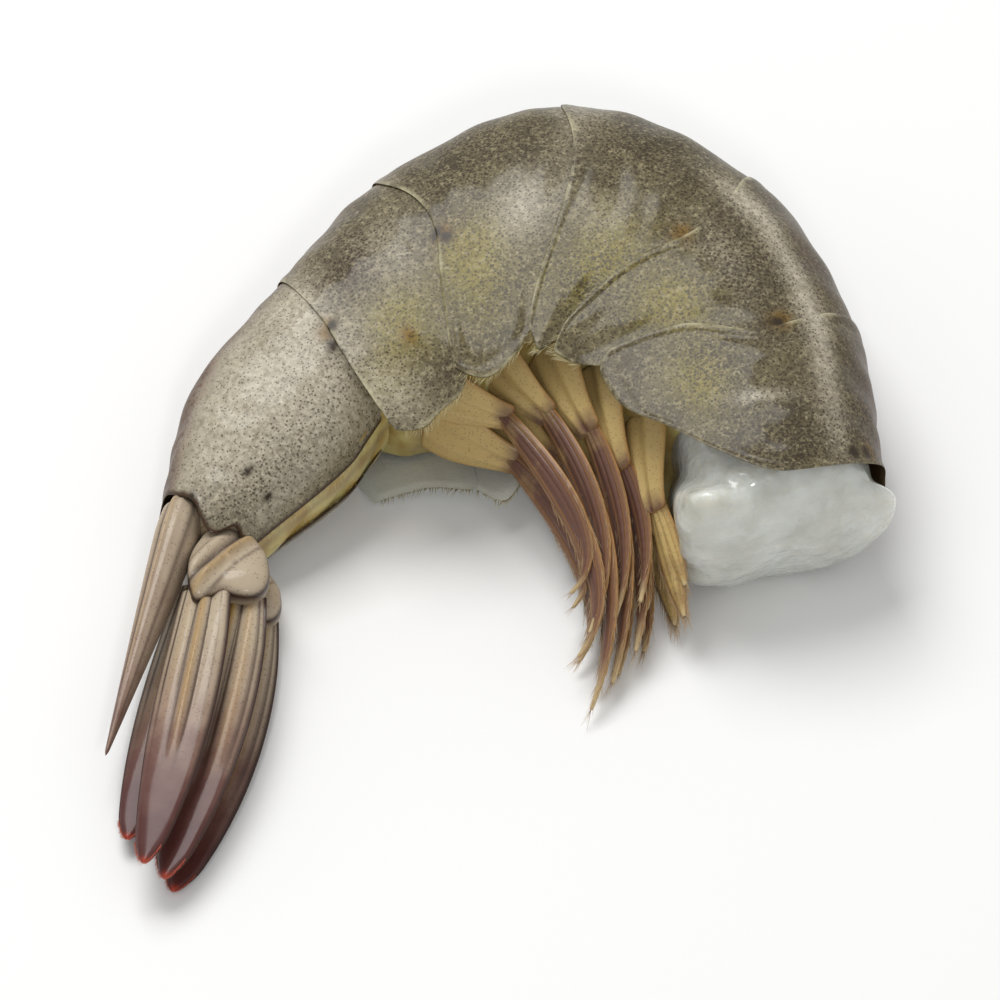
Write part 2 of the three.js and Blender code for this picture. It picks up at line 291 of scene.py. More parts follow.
# ---------------------------------------------------------------- the workbench
def deselect() -> None:
    """Leaves nothing selected, in object mode."""
    if bpy.context.mode != "OBJECT":
        bpy.ops.object.mode_set(mode="OBJECT")
    bpy.ops.object.select_all(action="DESELECT")


def pick(piece: bpy.types.Object) -> None:
    """Selects one piece alone and makes it active."""
    deselect()
    piece.select_set(True)
    bpy.context.view_layer.objects.active = piece


def named(name: str) -> bpy.types.Object:
    """Names the object that was just added.

    Args:
        name: Its name.

    Returns:
        The object.
    """
    piece = bpy.context.active_object
    piece.name = piece.data.name = name
    return piece


def coordinates(piece: bpy.types.Object) -> Points:
    """Returns a mesh's points."""
    flat = np.empty(len(piece.data.vertices) * 3)
    piece.data.vertices.foreach_get("co", flat)
    return flat.reshape(-1, 3)


def lay(piece: bpy.types.Object, points: Points) -> None:
    """Moves a mesh's points onto drawn places.

    Args:
        piece: The piece.
        points: Places in drawn millimetres.
    """
    piece.data.vertices.foreach_set("co", metres(points).ravel())
    piece.data.update()


def keep_mask(piece: bpy.types.Object, name: str, values: Points) -> None:
    """Stores a mask on a piece's points.

    Args:
        piece: The piece.
        name: Name of the mask, which finishes read.
        values: One number a point.
    """
    values = np.broadcast_to(values, len(piece.data.vertices))
    piece.data.attributes.new(name, "FLOAT", "POINT").data.foreach_set("value", values.astype(np.float32))


def grid(name: str, columns: int, rows: int) -> tuple[bpy.types.Object, Points, Points]:
    """Adds a flat grid to be laid onto a surface.

    Args:
        name: Name of the piece.
        columns: Faces across.
        rows: Faces along.

    Returns:
        The piece and its points' shares across and along.
    """
    deselect()
    bpy.ops.mesh.primitive_grid_add(x_subdivisions=columns, y_subdivisions=rows, size=1)
    piece = named(name)
    co = coordinates(piece)
    return piece, co[:, 0] + 0.5, co[:, 1] + 0.5


def ball(name: str, segments: int, rings: int) -> tuple[bpy.types.Object, Points, Points]:
    """Adds a ball to be drawn out into a closed form.

    Args:
        name: Name of the piece.
        segments: Faces around.
        rings: Faces from pole to pole.

    Returns:
        The piece, its points' turns from -1 to 1, and their shares from the top pole down.
    """
    deselect()
    bpy.ops.mesh.primitive_uv_sphere_add(segments=segments, ring_count=rings, radius=1)
    piece = named(name)
    co = coordinates(piece)
    return piece, np.arctan2(co[:, 1], co[:, 0]) / np.pi, np.arccos(np.clip(co[:, 2], -1, 1)) / np.pi


def apply(piece: bpy.types.Object, kind: str, **settings: object) -> None:
    """Adds a modifier and applies it.

    Args:
        piece: The piece.
        kind: Blender's name of the modifier.
        settings: Its settings.
    """
    pick(piece)
    modifier = piece.modifiers.new(kind.title(), kind)
    for key, value in settings.items():
        setattr(modifier, key, value)
    bpy.ops.object.modifier_apply(modifier=modifier.name)


def thicken(piece: bpy.types.Object, wall: float, shares: Points, offset: float) -> None:
    """Gives a sheet its wall.

    Args:
        piece: The sheet.
        wall: Thickness in millimetres.
        shares: Each point's share of that thickness.
        offset: -1 for a wall below the face, 0 for one on both sides of it.
    """
    group = piece.vertex_groups.new(name="wall")
    for index, share in enumerate(shares):
        group.add([index], float(share), "REPLACE")
    apply(piece, "SOLIDIFY", thickness=wall * MM, offset=offset, vertex_group="wall")
    piece.vertex_groups.clear()


def outwards(piece: bpy.types.Object) -> None:
    """Turns a closed form's faces outwards."""
    pick(piece)
    bpy.ops.object.mode_set(mode="EDIT")
    bpy.ops.mesh.select_all(action="SELECT")
    bpy.ops.mesh.normals_make_consistent(inside=False)
    bpy.ops.object.mode_set(mode="OBJECT")


def soften(piece: bpy.types.Object, levels: int = 1) -> None:
    """Subdivides a piece and shades it smooth.

    Args:
        piece: The piece.
        levels: How often it is subdivided.
    """
    if levels:
        apply(piece, "SUBSURF", levels=levels, render_levels=levels)
    pick(piece)
    bpy.ops.object.shade_smooth()


def form_sheet(
    piece: bpy.types.Object,
    points: Points,
    masks: Masks,
    wall: float,
    shares: Points,
    offset: float = -1.0,
) -> bpy.types.Object:
    """Lays a grid onto its surface and gives it its masks, its wall and its smoothness.

    Args:
        piece: The grid.
        points: Places of its points in drawn millimetres.
        masks: Values on its points, by the names that the finishes read.
        wall: Its thickness in millimetres.
        shares: Each point's share of that thickness.
        offset: -1 for a wall below the face, 0 for one on both sides of it.

    Returns:
        The finished sheet.
    """
    lay(piece, points)
    for name, values in masks.items():
        keep_mask(piece, name, values)
    thicken(piece, wall, shares, offset)
    soften(piece)
    return piece


def form_solid(piece: bpy.types.Object, points: Points, masks: Masks) -> bpy.types.Object:
    """Lays a ball onto its closed surface and gives it its masks and its smoothness.

    Args:
        piece: The ball.
        points: Places of its points in drawn millimetres.
        masks: Values on its points, by the names that the finishes read.

    Returns:
        The finished form.
    """
    lay(piece, points)
    for name, values in masks.items():
        keep_mask(piece, name, values)
    outwards(piece)
    soften(piece)
    return piece


def dress(piece: bpy.types.Object, material: bpy.types.Material, slot: Slot, *nodes: str) -> None:
    """Gives a finished piece its material and its place in the model.

    Args:
        piece: The piece.
        material: Its material.
        slot: The record's slot that the piece belongs to; not used.
        nodes: The CAD nodes that it stands for.
    """
    piece.data.materials.clear()
    piece.data.materials.append(material)
    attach(piece, BODY)
    if nodes:
        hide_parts(*nodes)
    LOG.info("%s: %d faces", piece.name, len(piece.data.polygons))


# ---------------------------------------------------------------- hairs
@dataclass(frozen=True)
class Hair:
    """A bristle: its root, its direction, its length and its radius, in drawn millimetres."""

    root: Points
    way: Points
    length: float
    radius: float


@dataclass
class Fringe:
    """A fringe of bristles, one modelled and the others copied into one mesh."""

    name: str
    hairs: list[Hair] = field(default_factory=list)
    bow: float = 0.12  # how far a bristle's end bends aside, as a share of its length

    def model_one(self) -> tuple[Points, list[tuple[int, ...]]]:
        """Models one bristle, 1 long and 1 in radius at its root.

        Returns:
            Its points and its faces.
        """
        deselect()
        bpy.ops.mesh.primitive_cone_add(vertices=3, radius1=1, radius2=0.25, depth=1, location=(0, 0, 0.5))
        one = named(self.name + "_one")
        bpy.ops.object.transform_apply(location=True)
        apply(one, "SUBSURF", subdivision_type="SIMPLE", levels=1, render_levels=1)
        points, faces = coordinates(one), [tuple(face.vertices) for face in one.data.polygons]
        bpy.data.objects.remove(one)
        return points, faces

    def build(self) -> bpy.types.Object:
        """Copies the bristle to every root.

        Returns:
            The fringe as one piece.
        """
        one, faces = self.model_one()
        draw = random.Random(self.name)
        points, corners = [], []
        for number, hair in enumerate(self.hairs):
            way = unit(hair.way)
            across = unit(np.cross(way, [draw.uniform(-1, 1), draw.uniform(-1, 1), draw.uniform(0.2, 1)]))
            bent = one[:, 2:3] * hair.length * (way + self.bow * one[:, 2:3] * across)
            round_it = one[:, :1] * across + one[:, 1:2] * np.cross(way, across)
            placed = hair.root + bent + round_it * hair.radius
            placed[:, 2] = np.maximum(placed[:, 2], 0.0)
            points.append(placed)
            corners += [tuple(number * len(one) + i for i in face) for face in faces]
        mesh = bpy.data.meshes.new(self.name)
        mesh.from_pydata(metres(np.concatenate(points)).tolist(), [], corners)
        piece = bpy.data.objects.new(self.name, mesh)
        bpy.context.scene.collection.objects.link(piece)
        keep_mask(piece, "along", np.tile(one[:, 2], len(self.hairs)))
        soften(piece, 0)
        return piece


# ---------------------------------------------------------------- finishes
MIX_FACTOR, MIX_A, MIX_B, MIX_RESULT = 0, 6, 7, 2  # sockets of a colour mix
Socket = bpy.types.NodeSocket
Inputs = dict[str | int, object]


def linear(colour: str) -> tuple[float, float, float, float]:
    """Turns an sRGB hex colour to linear.

    Args:
        colour: Six hex digits after a hash.

    Returns:
        Linear red, green, blue, and full alpha.
    """
    parts = [int(colour[i : i + 2], 16) / 255 for i in (1, 3, 5)]
    return (*(p / 12.92 if p <= 0.04045 else ((p + 0.055) / 1.055) ** 2.4 for p in parts), 1.0)


def per(millimetres: float) -> float:
    """Returns the texture scale that gives a feature of that size."""
    return 1 / (millimetres * MM)


def add_node(
    tree: bpy.types.NodeTree, kind: str, inputs: Inputs | None = None, **settings: object
) -> bpy.types.Node:
    """Adds a node with its settings and links.

    Args:
        tree: The node tree.
        kind: Blender's name of the node.
        inputs: Sockets to link from, or values to set, by the input's name or number.
        settings: The node's own settings.

    Returns:
        The node.
    """
    node = tree.nodes.new(kind)
    for key, value in settings.items():
        setattr(node, key, value)
    for key, value in (inputs or {}).items():
        if isinstance(value, Socket):
            tree.links.new(value, node.inputs[key])
        else:
            node.inputs[key].default_value = value
    return node


@dataclass(frozen=True)
class Gloss:
    """How a wet surface shines and how light spreads in it."""

    roughness: float
    coat: float
    coat_roughness: float
    scatter: float
    depth: tuple[float, float, float]  # millimetres that red, green and blue light spread
    ior: float = 1.45


HAIR_GLOSS = Gloss(0.4, 0.2, 0.3, 0.0, (0.3, 0.3, 0.3))


@dataclass(frozen=True)
class Finish:
    """A finish: its name and its gloss, to which its own kind adds colours and a pattern."""

    name: str
    gloss: Gloss
    reads: ClassVar[tuple[str, ...]] = ()  # masks that it takes from the points
    bump: ClassVar[tuple[float, float]] = (0.0, 0.0)  # strength, and height in millimetres

    def paint(
        self, tree: bpy.types.NodeTree, place: Socket, masks: dict[str, Socket]
    ) -> tuple[Socket, Socket]:
        """Paints the colour and the relief.

        Args:
            tree: The material's nodes.
            place: Object coordinates.
            masks: The masks that the finish reads, by their names.

        Returns:
            The colour, and the height that bumps the surface.
        """
        raise NotImplementedError

    def over(
        self, tree: bpy.types.NodeTree, ground: str, layers: Iterable[tuple[str, Socket]]
    ) -> Socket:
        """Paints layers of colour over each other.

        Args:
            tree: The material's nodes.
            ground: Hex colour of the ground.
            layers: Hex colours with their masks, from the lowest up.

        Returns:
            The painted colour.
        """
        base = linear(ground)
        for colour, mask in layers:
            inputs = {MIX_FACTOR: mask, MIX_A: base, MIX_B: linear(colour)}
            base = add_node(tree, "ShaderNodeMix", inputs, data_type="RGBA").outputs[MIX_RESULT]
        return base

    def material(self) -> bpy.types.Material:
        """Builds the material.

        Returns:
            The material, with its gloss set on the shader.
        """
        made = bpy.data.materials.new(self.name)
        made.use_nodes = True
        tree = made.node_tree
        tree.nodes.clear()
        place = add_node(tree, "ShaderNodeTexCoord").outputs["Object"]
        masks = {
            name: add_node(tree, "ShaderNodeAttribute", attribute_name=name).outputs["Fac"]
            for name in self.reads
        }
        colour, height = self.paint(tree, place, masks)
        strength, rise = self.bump
        bump = add_node(
            tree, "ShaderNodeBump", {"Height": height, "Strength": strength, "Distance": rise * MM}
        )
        red = max(self.gloss.depth)
        shader = add_node(
            tree,
            "ShaderNodeBsdfPrincipled",
            {
                "Base Color": colour,
                "Normal": bump.outputs["Normal"],
                "Roughness": self.gloss.roughness,
                "IOR": self.gloss.ior,
                "Subsurface Weight": self.gloss.scatter,
                "Subsurface Radius": tuple(d / red for d in self.gloss.depth),
                "Subsurface Scale": red * MM,
                "Coat Weight": self.gloss.coat,
                "Coat Roughness": self.gloss.coat_roughness,
            },
        )
        add_node(tree, "ShaderNodeOutputMaterial", {"Surface": shader.outputs["BSDF"]})
        return made


class Rim(Enum):
    """How a plate's free margin looks: a pale hem, or the last plate's dark one."""

    PALE = "pale"
    DARK = "dark"


# Cuticle of a raw shrimp: thin, clear, wet chitin grown over grey flesh. The eye sees a soft grey
# with whitish clouds, olive patches low on the side, and fine dark pigment dots that crowd into
# winding lines, under a broad wet sheen. The pale patches paint the whitish tone together with
# painted highlights and sheen on the back and the flanks, the brown along the back is partly
# painted shade, and the far side's flap is painted near white, partly as painted light in its
# shade. The dots are drawn a quarter of a millimetre apart.
@dataclass(frozen=True)
class ShellFinish(Finish):
    """The shell plates' finish."""

    rim: Rim = Rim.PALE
    grey: str = "#6f664b"
    dusk: str = "#4e4530"
    # The pale colour: the cuticle's whitish tone, and also painted highlights and sheen.
    pale: str = "#c3baa6"
    # The clear colour: near white painted on the far side's flap, its whitish chitin, and partly painted
    # light in the shade it lies in.
    clear: str = "#dde1da"
    fleck: str = "#9c9172"
    olive: str = "#877a22"
    # The brown along the back's outline: partly the shell's own line, partly painted shade where the back
    # turns from the light.
    rust: str = "#55321a"
    dot: str = "#2f2517"
    amber: str = "#7a5a10"
    pale_rim: str = "#cfc9a4"
    dark_rim: str = "#3a2410"
    cloud_size: float = 3.2  # millimetres, as the next three
    grain_size: float = 0.42
    dot_spacing: float = 0.27
    maze_spacing: float = 0.34
    reads: ClassVar[tuple[str, ...]] = (
        "pale", "olive", "stipple", "rust", "spot", "amber", "edge", "clear",
    )
    bump: ClassVar[tuple[float, float]] = (0.45, 0.12)

    def paint(
        self, tree: bpy.types.NodeTree, place: Socket, masks: dict[str, Socket]
    ) -> tuple[Socket, Socket]:
        """Paints clouds, patches, among them painted highlights and painted shade, dots and the margin's
        line.
        """
        cloud, grain = (
            add_node(
                tree,
                "ShaderNodeTexNoise",
                {"Vector": place, "Scale": per(size), "Detail": detail, "Roughness": roughness},
            ).outputs["Fac"]
            for size, detail, roughness in ((self.cloud_size, 5.0, 0.62), (self.grain_size, 4.0, 0.7))
        )
        starts, full, faint, strong, rim_colour = {
            Rim.PALE: (0.34, 0.05, 0.03, 0.5, self.pale_rim),  # broken by the clouds
            Rim.DARK: (0.55, 0.2, 0.95, 0.95, self.dark_rim),
        }[self.rim]
        streak, flecks, broken, line, strength = (
            add_node(
                tree,
                "ShaderNodeMapRange",
                {"Value": source, "From Min": low, "From Max": high, "To Min": least, "To Max": most},
            ).outputs["Result"]
            for source, low, high, least, most in (
                (cloud, 0.36, 0.64, 0.0, 1.0),
                (grain, 0.5, 0.66, 0.0, 0.75),
                (grain, 0.3, 0.62, 0.35, 1.0),
                (masks["edge"], starts, full, 0.0, 1.0),
                (cloud, 0.46, 0.6, faint, strong),
            )
        )
        pale, olive, rust = (
            add_node(
                tree, "ShaderNodeMath", {0: masks[name], 1: broken}, operation="MULTIPLY", use_clamp=True
            ).outputs["Value"]
            for name in ("pale", "olive", "rust")
        )
        rim = add_node(tree, "ShaderNodeMath", {0: line, 1: strength}, operation="MULTIPLY")
        height = add_node(tree, "ShaderNodeMath", {0: grain, 1: cloud}, operation="ADD")
        colour = self.over(
            tree,
            self.dusk,
            [
                (self.grey, streak),
                (self.olive, olive),
                (self.fleck, flecks),
                # whitish tone, with painted highlights and sheen
                (self.pale, pale),
                # brown along the back, partly painted shade
                (self.rust, rust),
                (self.amber, masks["amber"]),
                (self.dot, self.maze(tree, place, masks["stipple"])),
                (self.dot, self.dots(tree, place, masks["stipple"])),
                (rim_colour, rim.outputs["Value"]),
                (self.dot, masks["spot"]),
                # the far flap painted near white, partly painted light in its shade
                (self.clear, masks["clear"]),
            ],
        )
        return colour, height.outputs["Value"]

    def dots(self, tree: bpy.types.NodeTree, place: Socket, stipple: Socket) -> Socket:
        """Paints the pigment dots, which grow and crowd where the skin is stippled.

        Args:
            tree: The material's nodes.
            place: Object coordinates.
            stipple: Mask of how stippled the skin is.

        Returns:
            The dots' mask.
        """
        cells = add_node(
            tree, "ShaderNodeTexVoronoi", {"Vector": place, "Scale": per(self.dot_spacing)}
        ).outputs["Distance"]
        reach = add_node(
            tree, "ShaderNodeMath", {0: stipple, 1: 0.28, 2: 0.24}, operation="MULTIPLY_ADD"
        ).outputs["Value"]
        inner = add_node(
            tree, "ShaderNodeMath", {0: reach, 1: 0.12}, operation="SUBTRACT"
        ).outputs["Value"]
        mask = add_node(
            tree, "ShaderNodeMapRange", {"Value": cells, "From Min": reach, "From Max": inner}
        ).outputs["Result"]
        return add_node(tree, "ShaderNodeMath", {0: mask, 1: 0.7}, operation="MULTIPLY").outputs["Value"]

    def maze(self, tree: bpy.types.NodeTree, place: Socket, stipple: Socket) -> Socket:
        """Paints the fine winding lines that the pigment forms where it is densest.

        Args:
            tree: The material's nodes.
            place: Object coordinates.
            stipple: Mask of how stippled the skin is.

        Returns:
            The lines' mask.
        """
        waves = add_node(
            tree,
            "ShaderNodeTexNoise",
            {"Vector": place, "Scale": per(self.maze_spacing), "Detail": 1.0, "Distortion": 0.5},
        ).outputs["Fac"]
        away = add_node(tree, "ShaderNodeMath", {0: waves, 1: 0.5}, operation="SUBTRACT").outputs["Value"]
        away = add_node(tree, "ShaderNodeMath", {0: away}, operation="ABSOLUTE").outputs["Value"]
        line = add_node(
            tree, "ShaderNodeMapRange", {"Value": away, "From Min": 0.075, "From Max": 0.02}
        ).outputs["Result"]
        dense = add_node(
            tree, "ShaderNodeMapRange", {"Value": stipple, "From Min": 0.1, "From Max": 0.9, "To Max": 0.7}
        ).outputs["Result"]
        return add_node(tree, "ShaderNodeMath", {0: line, 1: dense}, operation="MULTIPLY").outputs["Value"]


# Raw shrimp muscle, cut: milky, translucent and wet. The eye sees soft white light from within,
# small highlights, and faint fibres.
@dataclass(frozen=True)
class FleshFinish(Finish):
    """The flesh's finish."""

    milk: str = "#d6d8d2"
    glass: str = "#bfc0b7"
    fibre: str = "#e4e7e2"
    bump: ClassVar[tuple[float, float]] = (0.7, 0.6)

    def paint(
        self, tree: bpy.types.NodeTree, place: Socket, masks: dict[str, Socket]
    ) -> tuple[Socket, Socket]:
        """Paints clearer and milkier flesh with fibres."""
        cloud, fine = (
            add_node(
                tree, "ShaderNodeTexNoise", {"Vector": place, "Scale": per(size), "Detail": detail}
            ).outputs["Fac"]
            for size, detail in ((3.0, 3.0), (1.1, 4.0))
        )
        milky, threads = (
            add_node(
                tree,
                "ShaderNodeMapRange",
                {"Value": source, "From Min": low, "From Max": high, "To Max": most},
            ).outputs["Result"]
            for source, low, high, most in ((cloud, 0.3, 0.7, 1.0), (fine, 0.5, 0.8, 0.4))
        )
        return self.over(tree, self.glass, [(self.milk, milky), (self.fibre, threads)]), fine


@dataclass(frozen=True)
class DottedFinish(Finish):
    """A finish that runs from one colour to others along a piece, unevenly, and is dotted."""

    wander_size: ClassVar[float] = 1.6  # millimetres, of the clouds that make the run uneven
    wander_detail: ClassVar[float] = 4.0
    wander: ClassVar[float] = 0.5  # how far they shift it, as a share of the piece
    dot_spacing: ClassVar[float] = 0.24
    dot_strength: ClassVar[float] = 0.42

    def run(
        self,
        tree: bpy.types.NodeTree,
        place: Socket,
        along: Socket,
        steps: Iterable[tuple[float, float]],
    ) -> tuple[Socket, list[Socket], Socket]:
        """Paints the masks of the run and of its dots.

        Args:
            tree: The material's nodes.
            place: Object coordinates.
            along: Mask of how far along the piece a point lies.
            steps: Where each change of colour begins and ends.

        Returns:
            The clouds, one mask for each change, and the dots' mask.
        """
        cloud = add_node(
            tree,
            "ShaderNodeTexNoise",
            {"Vector": place, "Scale": per(self.wander_size), "Detail": self.wander_detail},
        ).outputs["Fac"]
        shifted = add_node(
            tree, "ShaderNodeMath", {0: cloud, 1: self.wander, 2: along}, operation="MULTIPLY_ADD"
        ).outputs["Value"]
        cells = add_node(
            tree, "ShaderNodeTexVoronoi", {"Vector": place, "Scale": per(self.dot_spacing)}
        ).outputs["Distance"]
        *changes, dots = (
            add_node(
                tree,
                "ShaderNodeMapRange",
                {"Value": source, "From Min": low, "From Max": high, "To Max": most},
            ).outputs["Result"]
            for source, low, high, most in (
                *((shifted, low, high, 1.0) for low, high in steps),
                (cells, 0.3, 0.14, self.dot_strength),
            )
        )
        return cloud, changes, dots


# Tail fan of a raw shrimp: thicker, ribbed chitin, wet. The eye sees mauve-beige with gilt ribs
# that darkens to purple towards the end, a thin dark outline, and red at the very tip.
@dataclass(frozen=True)
class TailFinish(DottedFinish):
    """The tail fan's finish."""

    beige: str = "#b3a38c"
    mauve: str = "#7c5b4f"
    purple: str = "#512a26"
    red: str = "#b8442c"
    gilt: str = "#a07a34"
    outline: str = "#35211a"
    dot: str = "#4d3a34"
    grain_size: float = 0.7  # millimetres
    reads: ClassVar[tuple[str, ...]] = ("along", "rib", "edge", "tip")
    bump: ClassVar[tuple[float, float]] = (0.4, 0.12)
    wander_size: ClassVar[float] = 2.5
    wander_detail: ClassVar[float] = 3.0
    wander: ClassVar[float] = 0.35
    dot_spacing: ClassVar[float] = 0.28
    dot_strength: ClassVar[float] = 0.45

    def paint(
        self, tree: bpy.types.NodeTree, place: Socket, masks: dict[str, Socket]
    ) -> tuple[Socket, Socket]:
        """Paints the run from beige to red, the ribs and the outline."""
        grain = add_node(
            tree, "ShaderNodeTexNoise", {"Vector": place, "Scale": per(self.grain_size), "Detail": 4.0}
        ).outputs["Fac"]
        _, changes, dots = self.run(tree, place, masks["along"], ((0.32, 0.85), (0.62, 1.02)))
        colour = self.over(
            tree,
            self.beige,
            [
                (self.mauve, changes[0]),
                (self.purple, changes[1]),
                (self.gilt, masks["rib"]),
                (self.dot, dots),
                (self.outline, masks["edge"]),
                (self.red, masks["tip"]),
            ],
        )
        return colour, grain


# Swimmerets of a raw shrimp: thin clear chitin, wet. The eye sees honey at the root, purple-brown
# below, and golden edges.
@dataclass(frozen=True)
class LimbFinish(DottedFinish):
    """The swimmerets' finish."""

    honey: str = "#c3a86d"
    brown: str = "#68483b"
    gold: str = "#b0824a"
    cream: str = "#cdb98c"
    dot: str = "#3c3434"
    reads: ClassVar[tuple[str, ...]] = ("along", "edge", "tip")
    bump: ClassVar[tuple[float, float]] = (0.3, 0.15)

    def paint(
        self, tree: bpy.types.NodeTree, place: Socket, masks: dict[str, Socket]
    ) -> tuple[Socket, Socket]:
        """Paints the run along the limb, its golden edges and its dots."""
        cloud, changes, dots = self.run(tree, place, masks["along"], ((0.45, 0.8),))
        layers = [
            (self.brown, changes[0]),
            (self.dot, dots),
            (self.gold, masks["edge"]),
            (self.cream, masks["tip"]),
        ]
        return self.over(tree, self.honey, layers), cloud


# Bristles: fine clear chitin hairs. The eye sees colour only where they lie close together, so
# they take it on from root to end, and are drawn coarser than the real ones to show at all.
@dataclass(frozen=True)
class BristleFinish(Finish):
    """The bristles' finish."""

    root: str = "#9a6c3a"
    end: str = "#d8b987"
    reads: ClassVar[tuple[str, ...]] = ("along",)
    bump: ClassVar[tuple[float, float]] = (0.1, 0.05)

    def paint(
        self, tree: bpy.types.NodeTree, place: Socket, masks: dict[str, Socket]
    ) -> tuple[Socket, Socket]:
        """Paints the run from root to end, uneven from hair to hair."""
        cloud = add_node(
            tree, "ShaderNodeTexNoise", {"Vector": place, "Scale": per(1.2), "Detail": 2.0}
        ).outputs["Fac"]
        wander = add_node(
            tree, "ShaderNodeMath", {0: cloud, 1: 0.6, 2: masks["along"]}, operation="MULTIPLY_ADD"
        ).outputs["Value"]
        share = add_node(
            tree, "ShaderNodeMapRange", {"Value": wander, "From Min": 0.25, "From Max": 1.1}
        ).outputs["Result"]
        return self.over(tree, self.root, [(self.end, share)]), cloud


# Soft skin between the plates: clear, wet and yellowish. The eye sees honey and straw clouds, and
# brown in the folds.
@dataclass(frozen=True)
class MembraneFinish(Finish):
    """The soft skins' finish."""

    honey: str = "#b3954e"
    straw: str = "#cfbf7c"
    fold: str = "#7c5f3c"
    reads: ClassVar[tuple[str, ...]] = ("fold",)
    bump: ClassVar[tuple[float, float]] = (0.35, 0.1)

    def paint(
        self, tree: bpy.types.NodeTree, place: Socket, masks: dict[str, Socket]
    ) -> tuple[Socket, Socket]:
        """Paints honey and straw clouds and browner folds."""
        cloud, fine = (
            add_node(
                tree, "ShaderNodeTexNoise", {"Vector": place, "Scale": per(size), "Detail": detail}
            ).outputs["Fac"]
            for size, detail in ((1.8, 4.0), (0.4, 3.0))
        )
        share = add_node(
            tree, "ShaderNodeMapRange", {"Value": cloud, "From Min": 0.38, "From Max": 0.62}
        ).outputs["Result"]
        return self.over(tree, self.honey, [(self.straw, share), (self.fold, masks["fold"])]), fine


# ---------------------------------------------------------------- shell plates
@dataclass(frozen=True)
class Plate:
    """A shell plate: its rear margin and its side flaps on the upper and the lower side."""

    number: int
    rear: tuple[float, ...]
    flaps: tuple[float, float, float, float] | None = None


